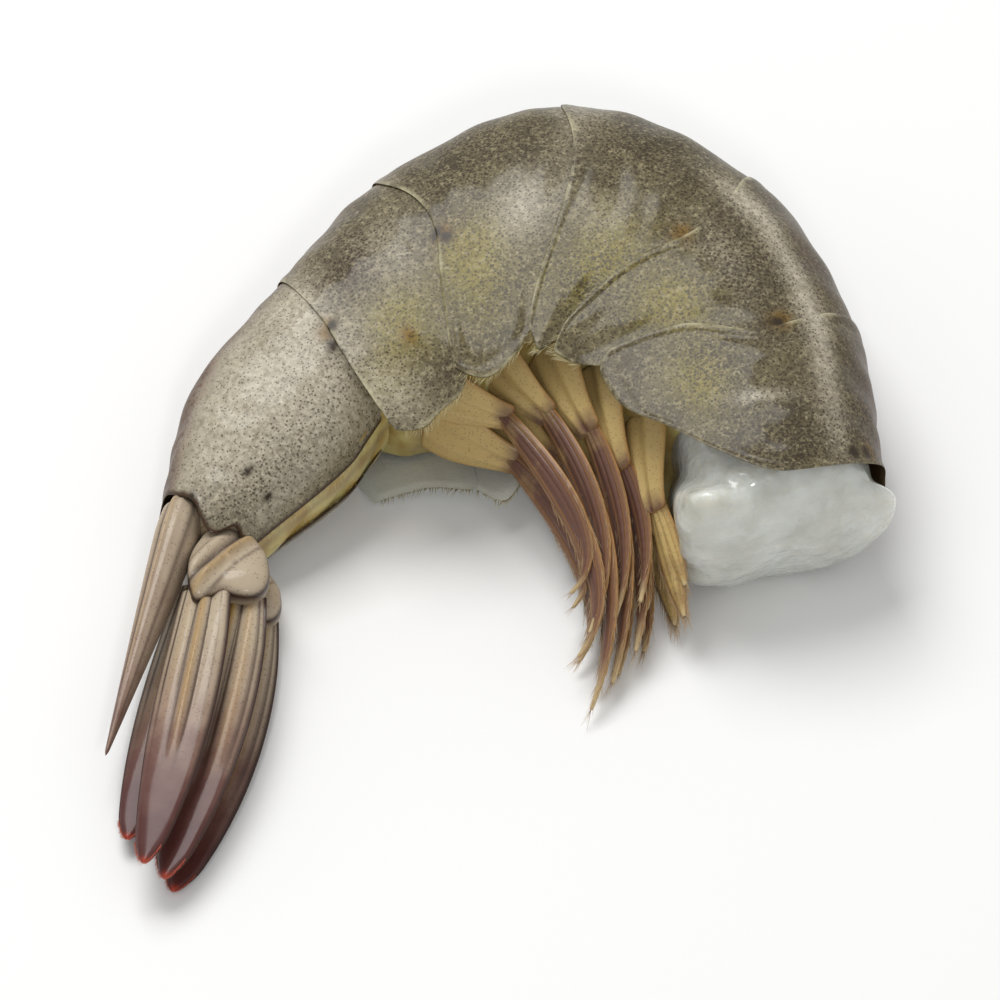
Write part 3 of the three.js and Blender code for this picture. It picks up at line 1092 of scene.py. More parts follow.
@dataclass
class Armour:
    """The six overlapping plates, each over the next one's front."""

    form: BodyForm
    plates: tuple[Plate, ...] = (
        Plate(1, (13.4, 12.4, 11.0, 13.2, 13.6), (2.6, 3.2, 2.6, 3.4)),
        Plate(2, (22.2, 21.5, 19.9, 21.5, 22.6), (4.2, 4.8, 4.0, 5.0)),
        Plate(3, (31.2, 31.0, 29.6, 30.2, 32.2), (5.0, 4.8, 5.0, 6.4)),
        Plate(4, (40.6, 40.8, 39.4, 41.0, 43.2), (4.0, 3.6, 6.8, 7.2)),
        Plate(5, (48.0, 48.8, 49.8, 51.4, 53.2), (3.8, 4.2, 6.4, 1.0)),
        Plate(6, ()),
    )
    tail_turns: tuple[float, ...] = (
        0, 0.04, 0.1, 0.28, 0.45, 0.5, 0.56, 0.62, 0.66, 0.7, 0.75, 0.82, 0.93,
    )
    tail_rear: tuple[float, ...] = (
        66.4, 65.4, 64.9, 65.3, 66.1, 66.9, 67.6, 67.8, 67.4, 66.5, 66.5, 66.8, 66.2,
    )  # the last margin is notched, with a small spine on the back
    upper_front: tuple[float, ...] = (3.4, 0.9, 0, 2.2, 5.6)
    lower_front: tuple[float, ...] = (3.4, 2.8, 3.4, 4.4, 6.2)
    layer: float = 0.15  # from a plate's outer face to that of the one under it
    wall: float = 0.12
    clearance: float = 0.3
    swell: float = 3.4  # length over which a plate rises from under the one ahead of it
    underlap: float = 2.0
    tail_wrap: float = 0.93  # how far round the last plate reaches
    columns: int = 150
    rows: int = 46
    swells: tuple[tuple[float, float, float, float], ...] = (
        (0.07, 0.9, 0.35, 1.0), (0.05, 1.7, -0.6, 0.4), (0.045, 0.5, 1.1, 2.1), (0.03, 2.6, 0.9, 0),
    )  # the skin's unevenness: each wave's height, its pace along and around, and its phase
    lobe_loss: float = 0.42  # how much a side flap loses at its corners, as a share
    lobe_bluntness: float = 3.2
    thin_edge: float = 0.3  # share of the wall that is left at a free margin
    hem_count: int = 46  # bristles on each hem of a plate
    hem_span: tuple[float, float] = (0.16, 0.96)  # shares of the plate that they stand on
    hair_length: tuple[float, float] = (0.4, 0.95)
    hair_radius: float = 0.03
    hair_sunk: float = 0.15  # how deep under the skin they are rooted
    hair_stray: float = 0.3  # how unevenly they point
    spots: tuple[tuple[float, float], ...] = (
        (39.4, 0.535), (38.9, 0.57), (49.7, 0.545), (50.7, 0.57), (11.3, 0.45), (62.2, 0.58),
        (63.0, 0.74), (2.0, 0.22), (1.6, 0.28), (65.6, 0.40),
    )  # dark pigment where the plates hinge, along the body and in turns
    spot_size: float = 0.4
    ambers: tuple[tuple[float, float], ...] = (
        (45.5, 0.75), (20.3, 0.54), (11.4, 0.44), (50.1, 0.53), (39.0, 0.55), (2.2, 0.20),
    )
    amber_size: float = 0.7
    olive: tuple[Patch, ...] = patches(
        (45.5, 0.69, 3.0, 0.10, 1.2), (37.5, 0.78, 4.0, 0.13, 0.75), (37.6, 0.64, 2.6, 0.09, 1.0),
        (24.0, 0.72, 3.6, 0.14, 1.1), (15.5, 0.69, 3.2, 0.11, 1.1), (7.5, 0.72, 3.0, 0.10, 1.0),
        (49.5, 0.80, 4.0, 0.10, 0.55), (30.0, 0.84, 3.0, 0.10, 0.35), (59.0, 0.86, 6.0, 0.05, 0.3),
    )
    # Whitish patches: partly the cuticle's milky tone, partly painted highlights and sheen, such as the
    # broad one on the last plate's back and the bright band at a third of a turn along the first plates.
    pale: tuple[Patch, ...] = patches(
        (58.0, 0.25, 8.0, 0.10, 1.1), (60.5, 0.48, 7.0, 0.24, 1.0), (53.5, 0.58, 5.0, 0.22, 0.8),
        (62.0, 0.80, 6.0, 0.10, 0.6), (50.5, 0.86, 4.0, 0.12, 0.5), (50.0, 0.38, 1.6, 0.10, 0.8),
        (43.0, 0.50, 2.8, 0.12, 0.4), (40.6, 0.10, 0.8, 0.13, 0.9), (33.0, 0.60, 2.4, 0.09, 0.75),
        (30.0, 0.20, 1.2, 0.25, 0.5), (26.0, 0.60, 2.0, 0.06, 0.35), (20.0, 0.34, 2.2, 0.045, 0.85),
        (16.0, 0.34, 3.0, 0.045, 0.85), (12.0, 0.34, 2.4, 0.045, 0.8), (8.0, 0.33, 3.0, 0.045, 0.75),
        (3.2, 0.34, 2.6, 0.05, 0.5), (5.4, 0.55, 0.5, 0.09, 0.8), (17.0, 0.50, 3.0, 0.05, 0.3),
    )
    stippled: tuple[Patch, ...] = patches(
        (57.0, 0.64, 6.0, 0.12, 0.75), (63.5, 0.60, 3.0, 0.12, 0.4), (45.5, 0.46, 2.4, 0.08, 0.8),
        (36.5, 0.36, 3.2, 0.16, 0.75), (22.5, 0.80, 5.0, 0.13, 0.55), (34.5, 0.82, 4.0, 0.10, 0.4),
        (2.0, 0.54, 2.4, 0.15, 1.0), (9.0, 0.64, 3.0, 0.10, 0.65), (16.0, 0.46, 4.0, 0.16, 0.5),
        (26.0, 0.36, 3.0, 0.16, 0.6), (5.0, 0.18, 5.0, 0.08, 0.6), (17.0, 0.22, 4.0, 0.08, 0.4),
    )
    # The brown along the back's outline: partly the shell's own line, partly painted shade where the back
    # turns away from the light.
    brown_and_shade_patches: tuple[Patch, ...] = patches(
        (62.0, 0.07, 5.5, 0.16, 1.6), (54.0, 0.06, 5.0, 0.155, 1.5), (46.5, 0.06, 3.6, 0.13, 1.2),
        (40.0, 0.08, 3.0, 0.14, 0.8), (35.0, 0.08, 3.0, 0.14, 0.4), (4.0, 0.04, 6.0, 0.16, 0.8),
        (10.0, 0.06, 4.0, 0.15, 0.6), (17.0, 0.22, 3.4, 0.07, 0.5), (46.0, 0.47, 2.0, 0.06, 0.3),
    )

    def rear(self, number: int, turn: Points) -> Points:
        """Returns where a plate ends, at turns round the body."""
        if number == len(self.plates):
            return Curve(self.tail_turns, self.tail_rear)(np.abs(turn))
        return Curve(QUARTERS, self.plates[number - 1].rear)(np.abs(turn))

    def front(self, number: int, turn: Points) -> Points:
        """Returns where a plate begins, under the one ahead of it."""
        if number > 1:
            return self.rear(number - 1, turn) - self.underlap
        return margin(self.upper_front, self.lower_front, turn)

    def drop(self, plate: Plate, at: Points, turn: Points, share: Points) -> Points:
        """Measures a side flap.

        Args:
            plate: The plate.
            at: Distances along the body.
            turn: Turns round it.
            share: Shares from the plate's front to its rear.

        Returns:
            The flap's length below the section's centre, a lobe that is shorter at its corners.
        """
        deep = self.form.section(at)[2]
        front = np.where(turn > 0, plate.flaps[0], plate.flaps[2])
        rear = np.where(turn > 0, plate.flaps[1], plate.flaps[3])
        lobe = 1 - self.lobe_loss * np.abs(2 * share - 1) ** self.lobe_bluntness
        return deep * 0.9 + (deep * 0.1 + mix(front, rear, share)) * lobe

    def relief(self, at: Points, turn: Points) -> Points:
        """Returns the skin's low uneven swells in millimetres, outwards."""
        around = turn * TURN_REACH
        calm = 1 - 0.85 * smooth(0.42, 0.68, np.abs(turn))
        return calm * sum(
            height * np.sin(pace * at + aside * around + phase)
            for height, pace, aside, phase in self.swells
        )

    def reach(self, plate: Plate) -> float:
        """Returns how far round the body a plate goes."""
        return 1.0 if plate.flaps else self.tail_wrap

    def edges(self, plate: Plate, at: Points, turn: Points) -> Points:
        """Measures how far points are from the plate's free margins.

        Args:
            plate: The plate.
            at: Distances along the body.
            turn: Turns round it.

        Returns:
            Millimetres to the nearest of the rear margin and the hem.
        """
        deep = self.form.section(at)[2]
        hem = (self.reach(plate) - np.abs(turn)) * 2 * (deep + 3)
        edge = np.minimum(self.rear(plate.number, turn) - at, hem)
        if plate.number == 1:
            edge = np.minimum(edge, at - self.front(1, turn) + 0.25)
        return edge

    def skin(self, plate: Plate, turn: Points, share: Points, out: float = 0.0) -> tuple[Points, Points]:
        """Finds points of a plate's outer face.

        Args:
            plate: The plate.
            turn: Turns round the body.
            share: Shares from the plate's front to its rear.
            out: Millimetres outwards.

        Returns:
            The points, and their distances along the body.
        """
        at = mix(self.front(plate.number, turn), self.rear(plate.number, turn), share)
        if plate.number > 1:
            past = at - self.rear(plate.number - 1, turn)
            inset = self.layer * (1 - smooth(self.clearance, self.swell, past))
        else:
            past, inset = at + 20, 0 * at
        edge = self.edges(plate, at, turn)
        open_skin = smooth(0, 2, past) * mix(0.25, 1, smooth(0.3, 2.6, edge))
        hem = 0.05 * bell(edge - 0.35, 0.22) - 0.04 * bell(edge - 0.9, 0.35)
        inset = inset - self.relief(at, turn) * open_skin - hem * smooth(0.2, 1.5, past) - out
        if plate.flaps is None:
            return self.form.on_round(at, turn, inset), at
        flap = self.form.on_flap(at, turn, inset, self.drop(plate, at, turn, share))
        on_flap = (np.abs(turn) > 0.5)[:, None]
        return np.where(on_flap, flap, self.form.on_round(at, turn, inset)), at

    def masks(self, plate: Plate, at: Points, turn: Points) -> dict[str, Points]:
        """Paints a plate's masks.

        Args:
            plate: The plate.
            at: Distances along the body.
            turn: Turns round it.

        Returns:
            The masks by their names.
        """
        def marked(marks: Iterable[tuple[float, float]], size: float) -> Points:
            """Returns a mask of round marks of a size in millimetres."""
            found = np.zeros_like(at)
            for mark_at, mark_turn in marks:
                away = np.hypot(at - mark_at, (np.abs(turn) - mark_turn) * TURN_REACH)
                found = np.maximum(found, bell(away, size))
            return found

        # The far side's flap is painted pale and near white: partly its whitish translucent chitin, partly
        # painted light where it lies in the body's shade.
        far_flap = smooth(0.62, 0.9, -turn) * (plate.flaps is not None)
        pale = patched(self.pale, at, turn)
        stipple = np.clip(0.52 + patched(self.stippled, at, turn) * 0.75, 0, 1)
        return {
            # Pale: the whitish tone, with painted highlights and sheen.
            "pale": np.clip(pale + 0.9 * far_flap, 0, 1),
            "olive": patched(self.olive, at, turn) * (1 - 0.7 * far_flap),
            "stipple": stipple * (1 - 0.6 * pale) * (1 - 0.8 * far_flap),
            # Brown along the back: partly the shell's own line, partly painted shade.
            "rust": patched(self.brown_and_shade_patches, at, turn),
            "spot": np.clip(2.2 * marked(self.spots, self.spot_size), 0, 1),
            "amber": np.clip(1.1 * marked(self.ambers, self.amber_size), 0, 0.85),
            "edge": self.edges(plate, at, turn),
            "clear": 0.85 * far_flap,
        }

    def build_plate(self, plate: Plate) -> bpy.types.Object:
        """Models a plate.

        Args:
            plate: Its measures.

        Returns:
            The plate with its wall and its masks.
        """
        piece, across, share = grid(f"plate_{plate.number}", self.columns, self.rows)
        turn = (1 - 2 * across) * self.reach(plate)
        points, at = self.skin(plate, turn, share)
        thin = mix(self.thin_edge, 1.0, smooth(0, 1.2, self.edges(plate, at, turn)))
        return form_sheet(piece, points, self.masks(plate, at, turn), self.wall, thin)

    def hem_hairs(self, plate: Plate) -> list[Hair]:
        """Plants the short bristles along both hems of a plate.

        Args:
            plate: The plate.

        Returns:
            The bristles.
        """
        draw = random.Random(plate.number)
        hairs = []
        for side in Side:
            turn = np.array([side.value * self.reach(plate) * 0.995])
            for step in range(self.hem_count):
                share = np.array([mix(*self.hem_span, (step + draw.random()) / self.hem_count)])
                root, inner, rear = (
                    self.skin(plate, turn * inwards, share + on, -self.hair_sunk)[0][0]
                    for inwards, on in ((1, 0), (0.93, 0), (1, 0.05))
                )
                way = unit(root - inner) + 0.5 * unit(rear - root)
                way = way + [draw.uniform(-self.hair_stray, self.hair_stray) for _ in range(3)]
                hairs.append(Hair(root, way, draw.uniform(*self.hair_length), self.hair_radius))
        return hairs

    def build(self) -> None:
        """Builds and dresses all plates and their bristles."""
        wet = Gloss(0.62, 0.3, 0.13, 0.05, (0.8, 0.7, 0.5), 1.27)
        finishes = {rim: ShellFinish(f"wet_cuticle_{rim.value}", wet, rim).material() for rim in Rim}
        hem = Fringe("hem_bristles")
        for plate in self.plates:
            rim = Rim.PALE if plate.flaps else Rim.DARK
            dress(self.build_plate(plate), finishes[rim], Slot.SHELL, f"shell_{plate.number}")
            if plate.number > 1:
                hem.hairs += self.hem_hairs(plate)
        bristle = BristleFinish("clear_bristles", HAIR_GLOSS, "#a8995f", "#cfc59b")
        dress(hem.build(), bristle.material(), Slot.SHELL)


# ---------------------------------------------------------------- flesh
@dataclass
class Muscle:
    """The flesh, which fills the plates and shows its lobed, wet face at the cut."""

    form: BodyForm
    armour: Armour
    upper_cut: tuple[float, ...] = (-0.7, -0.5, -0.8, -1.4, -1.6)
    lower_cut: tuple[float, ...] = (-0.7, -0.4, 0.6, -0.9, -1.6)
    cut_middle: float = -0.7  # where the middle of the cut's face lies along the body
    tail_end: float = 61
    tail_round: float = 0.04  # share of the rings behind the face that round its tail end
    face_roundness: float = 2.4
    inset: float = 1.05  # millimetres under the body's skin
    bare: float = -0.1  # the same ahead of the first plate, where nothing covers it
    bulge: float = 2.4  # how far the cut's face swells out at its middle
    cap: float = 0.34  # share of the rings that make the cut's face
    segments: int = 160
    rings: int = 150
    lumps: tuple[tuple[float, float, float, float, float], ...] = (
        (0.80, 0.05, 0.16, 0.42, 0.95),
        (-0.25, -0.35, 0.26, 0.26, 0.7),
        (-0.62, -0.30, 0.20, 0.32, 0.5),
        (0.25, 0.45, 0.24, 0.22, 0.5),
        (0.30, -0.30, 0.20, 0.28, 0.6),
        (-0.35, 0.45, 0.26, 0.20, 0.4),
        (-0.05, 0.15, 0.14, 0.16, 0.35),
        (0.55, 0.55, 0.14, 0.2, 0.4),
        (0.58, 0.0, 0.06, 0.6, -0.5),
        (0.02, 0.1, 0.07, 0.5, -0.3),
    )  # swells of the cut's face: towards the back, up, their reaches, and their height

    def cut(self, turn: Points) -> Points:
        """Returns where the flesh is cut, at turns round the body."""
        return margin(self.upper_cut, self.lower_cut, turn)

    def surface(self, turn: Points, share: Points) -> Points:
        """Finds points of the flesh.

        Args:
            turn: Turns round the body.
            share: Shares from the middle of the cut's face to the tail end.

        Returns:
            The points in drawn millimetres.
        """
        on_face = share < self.cap
        dome = np.where(on_face, np.sin(np.clip(share / self.cap, 0, 1) * np.pi / 2), 1.0)
        behind = np.clip((share - self.cap) / (1 - self.cap), 0, 1)
        sunk = self.bulge * (1 - (1 - dome**2) ** (1 / self.face_roundness))
        start = mix(self.cut_middle, self.cut(turn), dome)
        at = np.where(on_face, start + sunk, mix(start + self.bulge, self.tail_end, behind**1.3))
        dome = dome * closing((behind - (1 - self.tail_round)) / self.tail_round)
        bare = 1 - smooth(-2.2, -0.3, at - self.armour.front(1, turn))
        lobes = 0.03 * np.sin(3 * turn * np.pi + 0.8) + 0.025 * np.sin(5 * turn * np.pi + 2)
        ripples = 0.012 * np.sin(9 * turn * np.pi + 0.7 * at) + 0.01 * np.sin(14 * turn * np.pi - 1.3 * at)
        scale = dome * (1 + bare * (lobes + ripples))
        to_back, side = dome * np.cos(turn * np.pi), dome * np.sin(turn * np.pi)
        swell = np.zeros_like(at)
        for back, up, deep, tall, height in self.lumps:
            swell += height * np.exp(-(((to_back - back) / deep) ** 2) - ((side - up) / tall) ** 2)
        swell += 0.2 * np.sin(11 * to_back + 3 * side) * np.sin(9 * side - 2 * to_back + 0.5)
        at = at - swell * np.where(on_face, smooth(0.9, 1.0, dome) * (1 - dome**6), 0)
        return self.form.on_round(at, turn, mix(self.inset, self.bare, bare), scale)

    def build(self) -> None:
        """Builds and dresses the flesh."""
        piece, turn, share = ball("muscle", self.segments, self.rings)
        form_solid(piece, self.surface(turn, share), {})
        wet = Gloss(0.26, 0.9, 0.07, 1.0, (3.2, 2.8, 2.2), 1.38)
        dress(piece, FleshFinish("raw_muscle", wet).material(), Slot.FLESH, "flesh")


# ---------------------------------------------------------------- membranes
@dataclass
class Membranes:
    """The soft skins of the belly: one between the side flaps, one under the last plate."""

    form: BodyForm
    belly_span: tuple[float, float] = (6.0, 50.0)
    vent_span: tuple[float, float] = (49.5, 66.2)
    vent_reach: float = 0.12  # how far it reaches from the belly's midline, in turns
    segment: float = 9.2  # millimetres from one belly fold to the next
    belly_wall: float = 0.3
    vent_wall: float = 0.22
    belly_grid: tuple[int, int] = (30, 150)
    vent_grid: tuple[int, int] = (24, 80)

    def build_belly(self) -> bpy.types.Object:
        """Models the skin between the flaps, with a fold where each pair of limbs is rooted.

        Returns:
            The skin.
        """
        piece, across, share = grid("belly_skin", *self.belly_grid)
        over = 1 - 2 * across
        at = mix(*self.belly_span, share)
        _, _, deep, wide = self.form.section(at)
        from_front, from_rear = at - self.belly_span[0], self.belly_span[1] - at
        fold = np.cos(2 * np.pi * (at - 4.0) / self.segment)
        ends = smooth(0, 5, from_front) * smooth(0, 6, from_rear)
        down = deep - 0.9 + (2.1 - 1.6 * np.abs(over) ** 2.5 + 0.28 * fold) * ends
        down = down + 0.06 * np.sin(17 * over + 0.8 * at) * ends
        down = down - 2.4 * (1 - smooth(0, 3.5, from_rear)) - 1.6 * (1 - smooth(0, 2, from_front))
        points = self.form.place(at, -down, over * (wide - 1.1) * 0.96)
        masks = {"fold": 0.7 * smooth(0.2, 1, -fold) * (1 - over**2)}
        return form_sheet(piece, points, masks, self.belly_wall, np.ones_like(at))

    def build_vent(self) -> bpy.types.Object:
        """Models the skin that closes the last plate along its underside.

        Returns:
            The skin.
        """
        piece, across, share = grid("vent_skin", *self.vent_grid)
        over = 1 - 2 * across
        at = mix(*self.vent_span, share)
        inset = 0.34 + 0.2 * (1 - over**2) - 0.42 * smooth(60, 66, at) * bell(over + 0.45, 0.5)
        inset = inset + 0.05 * np.sin(1.4 * at + 5 * over)
        points = self.form.on_round(at, 1 - self.vent_reach * over, inset)
        masks = {"fold": 0.5 * bell(over, 0.2) + 0.5 * smooth(0.8, 1, np.abs(over))}
        return form_sheet(piece, points, masks, self.vent_wall, np.ones_like(at))

    def build(self) -> None:
        """Builds and dresses both skins."""
        wet = Gloss(0.35, 0.6, 0.15, 0.4, (1.4, 1.1, 0.6), 1.4)
        finish = MembraneFinish("soft_skin", wet).material()
        dress(self.build_belly(), finish, Slot.FLESH)
        dress(self.build_vent(), finish, Slot.FLESH)


# ---------------------------------------------------------------- leaves
@dataclass(frozen=True)
class Leaf:
    """A thin blade that bends from its root past a middle point to its tip."""

    root: Place
    middle: Place
    tip: Place
    side: Place
    width: float
    broad: float = 0.12  # how far from its point the leaf is cut off at the root, in half turns
    taper: float = 0.0  # how much of its width it loses on the way to its tip
    hair_radius: ClassVar[float] = 0.028
    hair_stray: ClassVar[tuple[float, float]] = (0.25, 0.12)  # off the blade and across it

    def axes(self, share: Points) -> tuple[Points, Points, Points, Points]:
        """Measures the blade along its path.

        Args:
            share: Shares of the way from root to tip.

        Returns:
            The path's points, and the directions along, across and off the blade.
        """
        root, middle, tip = (np.array(p, float) for p in (self.root, self.middle, self.tip))
        pull = 2 * middle - (root + tip) / 2
        s = np.asarray(share, float)[:, None]
        point = (1 - s) ** 2 * root + 2 * (1 - s) * s * pull + s**2 * tip
        along = unit((1 - s) * (pull - root) + s * (tip - pull))
        side = np.array(self.side, float)
        across = unit(side - (along @ side)[:, None] * along)
        return point, along, across, np.cross(along, across)

    def outline(self, share: Points) -> Points:
        """Returns the blade's half width along it, as a share of its greatest."""
        share = np.clip(share, 0, 1)
        round_tip = closing((share - 0.9) / 0.1, 0.002)
        bowed = np.sin(np.pi * (self.broad + (0.96 - self.broad) * share)) ** 0.6
        return bowed * round_tip * (1 - self.taper * share**2)

    def point(self, share: Points, over: Points, lift: Points) -> Points:
        """Finds points of the blade.

        Args:
            share: Shares of the way from root to tip.
            over: Places across it, from -1 to 1.
            lift: Millimetres off it.

        Returns:
            The points, none of them below the floor.
        """
        point, _, across, off = self.axes(share)
        wide = over * self.width / 2 * self.outline(share)
        found = point + across * wide[:, None] + off * np.broadcast_to(lift, share.shape)[:, None]
        found[:, 2] = np.maximum(found[:, 2], 0.0)
        return found

    def edge_hairs(
        self, seed: str, count: int, span: tuple[float, float], length: tuple[float, float], lean: float
    ) -> list[Hair]:
        """Plants bristles along both edges.

        Args:
            seed: Seed of their unevenness.
            count: How many stand on each edge.
            span: Shares of the way where they begin and end.
            length: The shortest and the longest, in millimetres.
            lean: How far they lean outwards, 0 being along the blade.

        Returns:
            The bristles.
        """
        draw = random.Random(seed)
        hairs = []
        off_stray, across_stray = self.hair_stray
        for sign in (-1, 1):
            for step in range(count):
                share = np.array([mix(*span, (step + draw.random()) / count)])
                _, along, across, off = self.axes(share)
                root = self.point(share, np.array([sign * 0.94]), 0.0)[0]
                way = along[0] + sign * lean * across[0] + off[0] * draw.uniform(-off_stray, off_stray)
                way = way + across[0] * draw.uniform(-across_stray, across_stray)
                hairs.append(Hair(root, way, draw.uniform(*length), self.hair_radius))
        return hairs


# ---------------------------------------------------------------- tail fan
@dataclass(frozen=True)
class Rib:
    """A rib of a tail blade: its place across, its height, its width and where it fades."""

    over: float
    height: float
    width: float
    fades: float


@dataclass
class TailFan:
    """The tail fan: its spike, its two stalks and their four blades."""

    blades: dict[str, Leaf] = field(
        default_factory=lambda: {
            "uropod_inner_upper": Leaf(
                (-21.7, -6.6, 5.3), (-23.6, -19.0, 5.5), (-25.9, -29.9, 3.9), (1, 0, 0.25), 4.5, 0.24
            ),
            "uropod_outer_upper": Leaf(
                (-19.3, -6.8, 4.3), (-21.4, -18.6, 4.0), (-24.5, -30.2, 2.6), (1, 0, 0.25), 5.0, 0.2
            ),
            "uropod_inner_lower": Leaf(
                (-21.9, -4.0, 2.3), (-24.6, -15.6, 2.1), (-27.1, -25.8, 1.5), (1, 0, 0.1), 4.4, 0.3
            ),
            "uropod_outer_lower": Leaf(
                (-18.1, -6.2, 1.5), (-20.6, -18.0, 1.0), (-23.9, -29.6, 0.5), (1, 0, 0.1), 5.0
            ),
        }
    )
    blade_grid: tuple[int, int] = (56, 88)
    inner_ribs: tuple[Rib, ...] = (Rib(0.05, 0.3, 0.13, 0.7), Rib(-0.5, 0.1, 0.16, 0.6))
    outer_ribs: tuple[Rib, ...] = (Rib(-0.2, 0.42, 0.12, 0.8), Rib(0.45, 0.2, 0.2, 0.75))
    wall: float = 0.42
    fringe: tuple[int, tuple[float, float], tuple[float, float], float] = (
        40, (0.93, 1.0), (0.15, 0.35), 0.3,
    )  # hairs on each edge of a blade's tip, their span, their lengths and their lean
    veins: tuple[float, ...] = (-0.72, -0.24, 0.2, 0.68)
    spike_root: Place = (-23.2, 1.3, 4.7)
    spike_tip: Place = (-28.6, -20.4, 3.8)
    spike_wide: float = 4.8
    spike_deep: float = 3.5
    spike_ridge: float = 0.62  # turn of the ridge on either face of the spike
    stalks: dict[Side, tuple[Place, Place]] = field(
        default_factory=lambda: {
            Side.UPPER: ((-20.4, -4.7, 5.1), (6.2, 7.0, 2.6)),
            Side.LOWER: ((-19.0, -4.9, 2.0), (5.0, 5.6, 2.4)),
        }
    )  # the middle and the size of each
    stalk_angles: tuple[float, ...] = (
        0, 40, 75, 107, 132, 185, 222, 234, 246, 262, 280, 315, 349, 360,
    )
    stalk_reach: tuple[float, ...] = (
        0.96, 0.96, 1.0, 1.14, 0.94, 0.86, 1.06, 1.2, 1.0, 0.76, 0.84, 1.12, 1.0, 0.96,
    )
    stalk_lean: float = 0.2  # how far its root lies lower, under the last plate
    joint_span: tuple[float, float] = (58.0, 66.6)
    joint_inset: float = 0.62

    def build_blade(self, name: str, leaf: Leaf) -> bpy.types.Object:
        """Models a blade with its ribs.

        Args:
            name: The node that it stands for.
            leaf: Its path.

        Returns:
            The blade.
        """
        piece, across, share = grid(name.replace("uropod", "blade"), *self.blade_grid)
        over = 1 - 2 * across
        lift, gilt, groove = -0.35 * over**2 * smooth(0, 0.2, share), 0 * share, 0 * share
        for rib in self.inner_ribs if "inner" in name else self.outer_ribs:
            away, wide = over - rib.over, rib.width
            fade = 1 - smooth(rib.fades - 0.35, rib.fades, share)
            beside = bell(away - 2 * wide, wide) + bell(away + 2 * wide, wide)
            lift = lift + rib.height * fade * (bell(away, wide) - 0.3 * beside)
            gilt = gilt + (rib.height / 0.45) * bell(away, wide * 0.5) * fade
            sides = bell(away + 1.5 * wide, 0.045) + bell(away - 1.5 * wide, 0.045)
            groove = groove + sides * (1 - smooth(rib.fades - 0.3, rib.fades, share))
        lift = lift + 0.08 * np.sin(5 * share + 2 * over)
        veins = 0.35 * sum(bell(over - place, 0.03) for place in self.veins)
        rim = np.where(
            over > 0, 1 - smooth(0.03, 0.2, 1 - over), 0.85 * (1 - smooth(0.03, 0.14, 1 + over))
        )
        masks = {
            "along": share,
            "rib": np.clip(gilt, 0, 0.85),
            "edge": np.clip(rim + 0.75 * groove + veins * (1 - smooth(0.5, 0.8, share)), 0, 1),
            "tip": 0.9 * smooth(0.975, 1.0, share + 0.008 * np.sin(40 * over)),
        }
        thick = mix(0.35, 1.0, smooth(0.0, 0.3, 1 - np.abs(over))) * mix(1, 0.6, share)
        return form_sheet(piece, leaf.point(share, over, lift), masks, self.wall, thick, 0.0)

    def build_spike(self) -> bpy.types.Object:
        """Models the spike, deep and grooved at its root and pointed at its end.

        Returns:
            The spike.
        """
        piece, turn, share = ball("spike", 72, 90)
        root, tip = np.array(self.spike_root), np.array(self.spike_tip)
        along = tip - root
        deepways = unit(np.cross([0, 0, 1], along))
        around, angle = np.abs(turn), turn * np.pi
        tucked = mix(0.85, 1.0, smooth(0.0, 0.16, share))
        taper = tucked * (1 - 0.94 * share**1.15) * closing(1 - share / 0.06)
        taper = taper * np.sqrt(np.clip((1 - share) / 0.02, 0, 1))
        fade = 1 - smooth(0.55, 0.95, share)
        swell = -0.16 * bell(around - 1.0, 0.08) + 0.06 * bell(around - 0.5, 0.04)
        for place in (self.spike_ridge, -self.spike_ridge):
            swell = swell + 0.16 * bell(turn - place, 0.05) - 0.12 * bell(turn - place * 1.18, 0.05)
        girth = taper * (1 + swell * fade)
        points = root + share[:, None] * along
        points = points + deepways * (np.cos(angle) * self.spike_deep / 2 * girth)[:, None]
        points[:, 2] += np.sin(angle) * self.spike_wide / 2 * girth
        masks = {
            "along": 0.14 + 0.45 * share,
            "rib": 0.4 * bell(around - self.spike_ridge, 0.03) * fade,
            "edge": 0.85 * bell(around - 0.73, 0.035) + 0.6 * bell(around - 0.3, 0.04),
            "tip": 0.0,
        }
        return form_solid(piece, points, masks)

    def build_stalk(self, side: Side) -> bpy.types.Object:
        """Models a stalk, a chunky lump with a slanting ridge and notched at its end.

        Args:
            side: Upper or lower.

        Returns:
            The stalk.
        """
        centre, size = self.stalks[side]
        piece, turn, share = ball(f"stalk_{side.name.lower()}_lump", 72, 48)
        angle, high = turn * np.pi, np.cos(share * np.pi)
        spread = Curve(self.stalk_angles, self.stalk_reach)(np.degrees(angle) % 360)
        spread = spread * np.sin(share * np.pi) ** 0.65
        x, y = np.cos(angle) * spread, np.sin(angle) * spread
        z = np.sign(high) * np.abs(high) ** 0.6 * (1 + 0.05 * np.sin(5 * x + 2) * np.sin(6 * y))
        across = 0.74 * x - 0.67 * y
        slant = bell(across + 0.02, 0.12)
        z = z * (1 + 0.38 * slant - 0.3 * bell(across + 0.27, 0.1) + 0.18 * bell(across + 0.55, 0.16))
        points = np.stack([x, y, z], -1) * np.array(size) / 2 + centre
        points[:, 2] -= self.stalk_lean * np.clip(points[:, 1] - centre[1], -1.5, 4)
        points[:, 2] = np.maximum(points[:, 2], 0.0)
        lines = sum(
            dark * bell(across - place, width)
            for place, width, dark in ((-0.27, 0.07, 0.9), (0.3, 0.04, 0.6), (-0.6, 0.04, 0.4))
        )
        masks = {
            "along": 0.14,
            "rib": 0.55 * slant * (high > 0),
            "edge": np.clip(bell(high - 0.1, 0.16) + lines * (high > 0), 0, 1),
            "tip": 0.0,
        }
        return form_solid(piece, points, masks)

